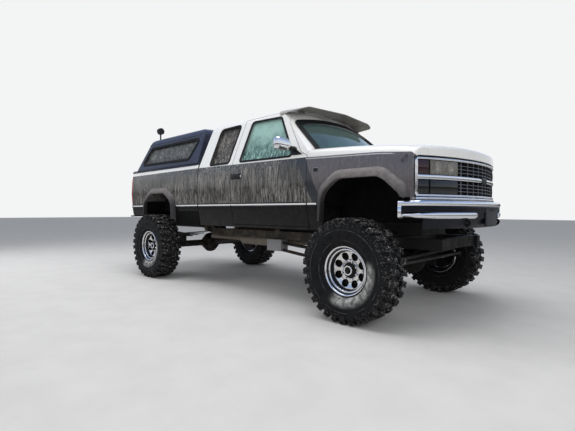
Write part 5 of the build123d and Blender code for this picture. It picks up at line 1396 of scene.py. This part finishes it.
# bumper sections in mm: height, inset
upperRoll = [(1055, 30), (1055, 12), (1057, 4), (1064, 1), (1076, 0), (1088, 3), (1096, 9), (1101, 18),
             (1102, 30), (1102, 44)]
lowerRoll = [(944, 36), (944, 24), (948, 12), (957, 4), (970, 0), (988, 0), (998, 4), (1002, 12), (1002, 36)]
endWrap = [(946, 40), (946, 8), (952, 1), (1050, 1), (1056, 8), (1056, 40)]
chromeParts = [planSweep(bumperPlan(), upperRoll)]
chromeParts += [planSweep(bumperPlan(stop=-288.0, n=90), lowerRoll, 70.0, 420.0)]
chromeParts += [mirrored(chromeParts[1])]
sideEnd = even([(bumper["end"], -bumper["half"]), (bumper["end"] + 32, -bumper["half"])], 4)
chromeParts += [planSweep(sideEnd, endWrap), mirrored(planSweep(sideEnd, endWrap))]
build("front_bumper_chrome", chromeParts, "chassis", chromePlate, 50, stands=("front_bumper",))
ribs = [(1002, 30), (1002, 9), (1005, 7), (1018, 7), (1020, 9), (1022, 7), (1036, 7), (1038, 9), (1040, 7),
        (1053, 7), (1056, 9), (1056, 30)]
middle = [(945, 34), (945, 14), (1004, 14), (1004, 34)]
dam = [(862, 58), (863, 52), (880, 40), (945, 26), (945, 46), (880, 56)]
stripParts = [planSweep(bumperPlan(), ribs), planSweep(bumperPlan(-330.0, 330.0, 60), middle),
              planSweep(bumperPlan(-905.0, 905.0, 120), dam)]
build("bumper_strip_and_dam", stripParts, "chassis", valanceBlack, 36, stands=("bumper_trim",))
plateX = axleX + 0.881
build("front_plate_holder", boxes([(plateX - 0.014, plateX - 0.004, -0.165, 0.165, 0.872, 1.048)], 0.004),
      "chassis", valanceBlack)
build("front_plate_blank", boxes([(plateX - 0.006, plateX, -0.152, 0.152, 0.885, 1.035)], 0.003),
      "chassis", plateBlank)
for hand, y in (("right", -0.42), ("left", 0.42)):
    c = np.array([axleX + 0.80, y, 0.93])
    hook = curve([c + [-0.06, 0, 0.0], c + [0.008, 0, -0.002], c + [0.026, 0, -0.022], c + [0.010, 0, -0.044],
                  c + [-0.012, 0, -0.042]], 24)
    build("tow_hook_" + hand, sweep(hook, pill(0.026, 0.018, -0.009), (0, 1, 0)), "chassis", darkSteel)
print("stage: front end made")


# Running gear and frame

def armBrackets(centre, normal):  # the grey drop brackets of the radius arms
    x, y, z = centre[:, 0], np.abs(centre[:, 1]), centre[:, 2]
    return ((x > 0.28) & (x < 0.57) & (z < 0.66) & (y > 0.36)).astype(int)


dress("frame", "chassis", [frameSteel, dropGrey], 0.003, armBrackets)
for node, body, metal, bevel in (
        ("front_axle", "chassis", axleIron, 0.003), ("rear_axle", "chassis", axleIron, 0.003),
        ("fuel_tank", "chassis", axleIron, 0.003), ("powertrain", "chassis", engineIron, 0.003),
        ("suspension", "chassis", springSteel, 0.0), ("exhaust", "chassis", tailPipe, 0.0),
        ("knuckle_left", "knuckle_left", axleIron, 0.002),
        ("knuckle_right", "knuckle_right", axleIron, 0.002), ("tie_rod", "tie_rod", rodSteel, 0.002),
        ("drag_link", "drag_link", rodSteel, 0.002), ("pitman_arm", "pitman_arm", axleIron, 0.002)):
    dress(node, body, [metal], bevel)
print("stage: running gear dressed")


# Floor, light and camera

studio = dict(  # a user changes the light here
    floor=(0.62, 0.61, 0.60), floorHalf=60.0, key=380.0, fill=160.0, rim=170.0, world=0.50)
view = dict(  # the photograph's camera: metres, degrees, lens and width in pixels
    place=(3.9434, -3.9999, 1.0021), yaw=133.544, pitch=-0.571, roll=0.253, lensPixels=393.87,
    widthPixels=575)


def floorPlane():
    s = studio["floorHalf"]
    verts, quads = grid(np.array([[(-s, -s, 0), (-s, s, 0)], [(s, -s, 0), (s, s, 0)]]))
    obj = linked("floor", meshOf("floor", verts, quads[:, ::-1]))
    t = Tree("pale_floor")
    c = studio["floor"]
    worn = tone(c[0] * 0.94, c[1] * 0.94, c[2] * 0.93)
    colour = t.blend(t.ramp(t.noise(3.0, 6.0, 0.6), 0.3, 0.7), tone(*c), worn)
    obj.data.materials.append(t.set(Base_Color=colour, Roughness=0.9))


def softBox(name, place, aim, size, power, inGloss=False):
    light = bpy.data.lights.new(name, "AREA")
    light.shape, light.size, light.size_y = "RECTANGLE", size[0], size[1]
    light.energy = power
    obj = linked(name, light)
    obj.location = place
    obj.rotation_mode = "QUATERNION"
    obj.rotation_quaternion = (Vector(aim) - Vector(place)).to_track_quat("-Z", "Y")
    obj.visible_glossy = inGloss


def studioWorld():
    # pale backdrop for the camera, gloss and glass; a plainer level lights the truck
    world = bpy.data.worlds.new("studio")
    bpy.context.scene.world = world
    world.use_nodes = True
    nodes, links = world.node_tree.nodes, world.node_tree.links
    nodes.clear()
    out, path, where, split, ramp, either, first, second = (nodes.new("ShaderNode" + kind) for kind in (
        "OutputWorld", "LightPath", "TexCoord", "SeparateXYZ", "ValToRGB", "Math", "MixShader", "MixShader"))
    # gloss sees a dark band at the horizon, a pale one above it, then a deepening blue
    fillRamp(ramp.color_ramp, [(0.0, (0.05, 0.048, 0.045)), (0.07, (0.07, 0.068, 0.065)),
                               (0.10, (0.92, 0.93, 0.95)), (0.35, (0.50, 0.63, 0.86)),
                               (1.0, (0.10, 0.20, 0.50))])
    seen, gloss, lit = (nodes.new("ShaderNodeBackground") for _ in range(3))
    seen.inputs[0].default_value, seen.inputs[1].default_value = (0.90, 0.905, 0.91, 1), 1.0
    lit.inputs[0].default_value, lit.inputs[1].default_value = (0.93, 0.96, 1.0, 1), studio["world"]
    either.operation = "MAXIMUM"
    for source, target in (
            (where.outputs["Generated"], split.inputs[0]), (split.outputs[2], ramp.inputs[0]),
            (ramp.outputs[0], gloss.inputs[0]), (path.outputs["Is Glossy Ray"], either.inputs[0]),
            (path.outputs["Is Transmission Ray"], either.inputs[1]), (either.outputs[0], first.inputs[0]),
            (lit.outputs[0], first.inputs[1]), (gloss.outputs[0], first.inputs[2]),
            (path.outputs["Is Camera Ray"], second.inputs[0]), (first.outputs[0], second.inputs[1]),
            (seen.outputs[0], second.inputs[2]), (second.outputs[0], out.inputs[0])):
        links.new(source, target)


def photoCamera():
    data = bpy.data.cameras.new("photo_view")
    cam = linked("photo_view", data)
    data.sensor_width = 36.0
    data.lens = view["lensPixels"] / view["widthPixels"] * data.sensor_width
    data.clip_start, data.clip_end = 0.05, 500
    yaw, pitch, roll = (math.radians(view[key]) for key in ("yaw", "pitch", "roll"))
    ahead = Vector((math.cos(yaw) * math.cos(pitch), math.sin(yaw) * math.cos(pitch), math.sin(pitch)))
    right = Vector((math.sin(yaw), -math.cos(yaw), 0))
    up = right.cross(ahead)
    right, up = right * math.cos(roll) + up * math.sin(roll), up * math.cos(roll) - right * math.sin(roll)
    turn = Matrix((right, up, -ahead)).transposed()
    cam.matrix_world = Matrix.Translation(view["place"]) @ turn.to_4x4()
    bpy.context.scene.camera = cam


floorPlane()
softBox("top_light", (0.5, -1.0, 7.5), (0.2, 0, 1.0), (7.0, 5.0), studio["key"], True)
softBox("front_light", (7.0, -5.5, 3.6), (1.0, -0.3, 1.0), (4.0, 3.0), studio["fill"])
softBox("rear_light", (-6.0, -4.5, 4.0), (-0.5, 0, 1.2), (4.0, 3.0), studio["rim"])
studioWorld()
photoCamera()
bpy.context.scene.view_settings.view_transform = "Standard"
print("stage: studio set")
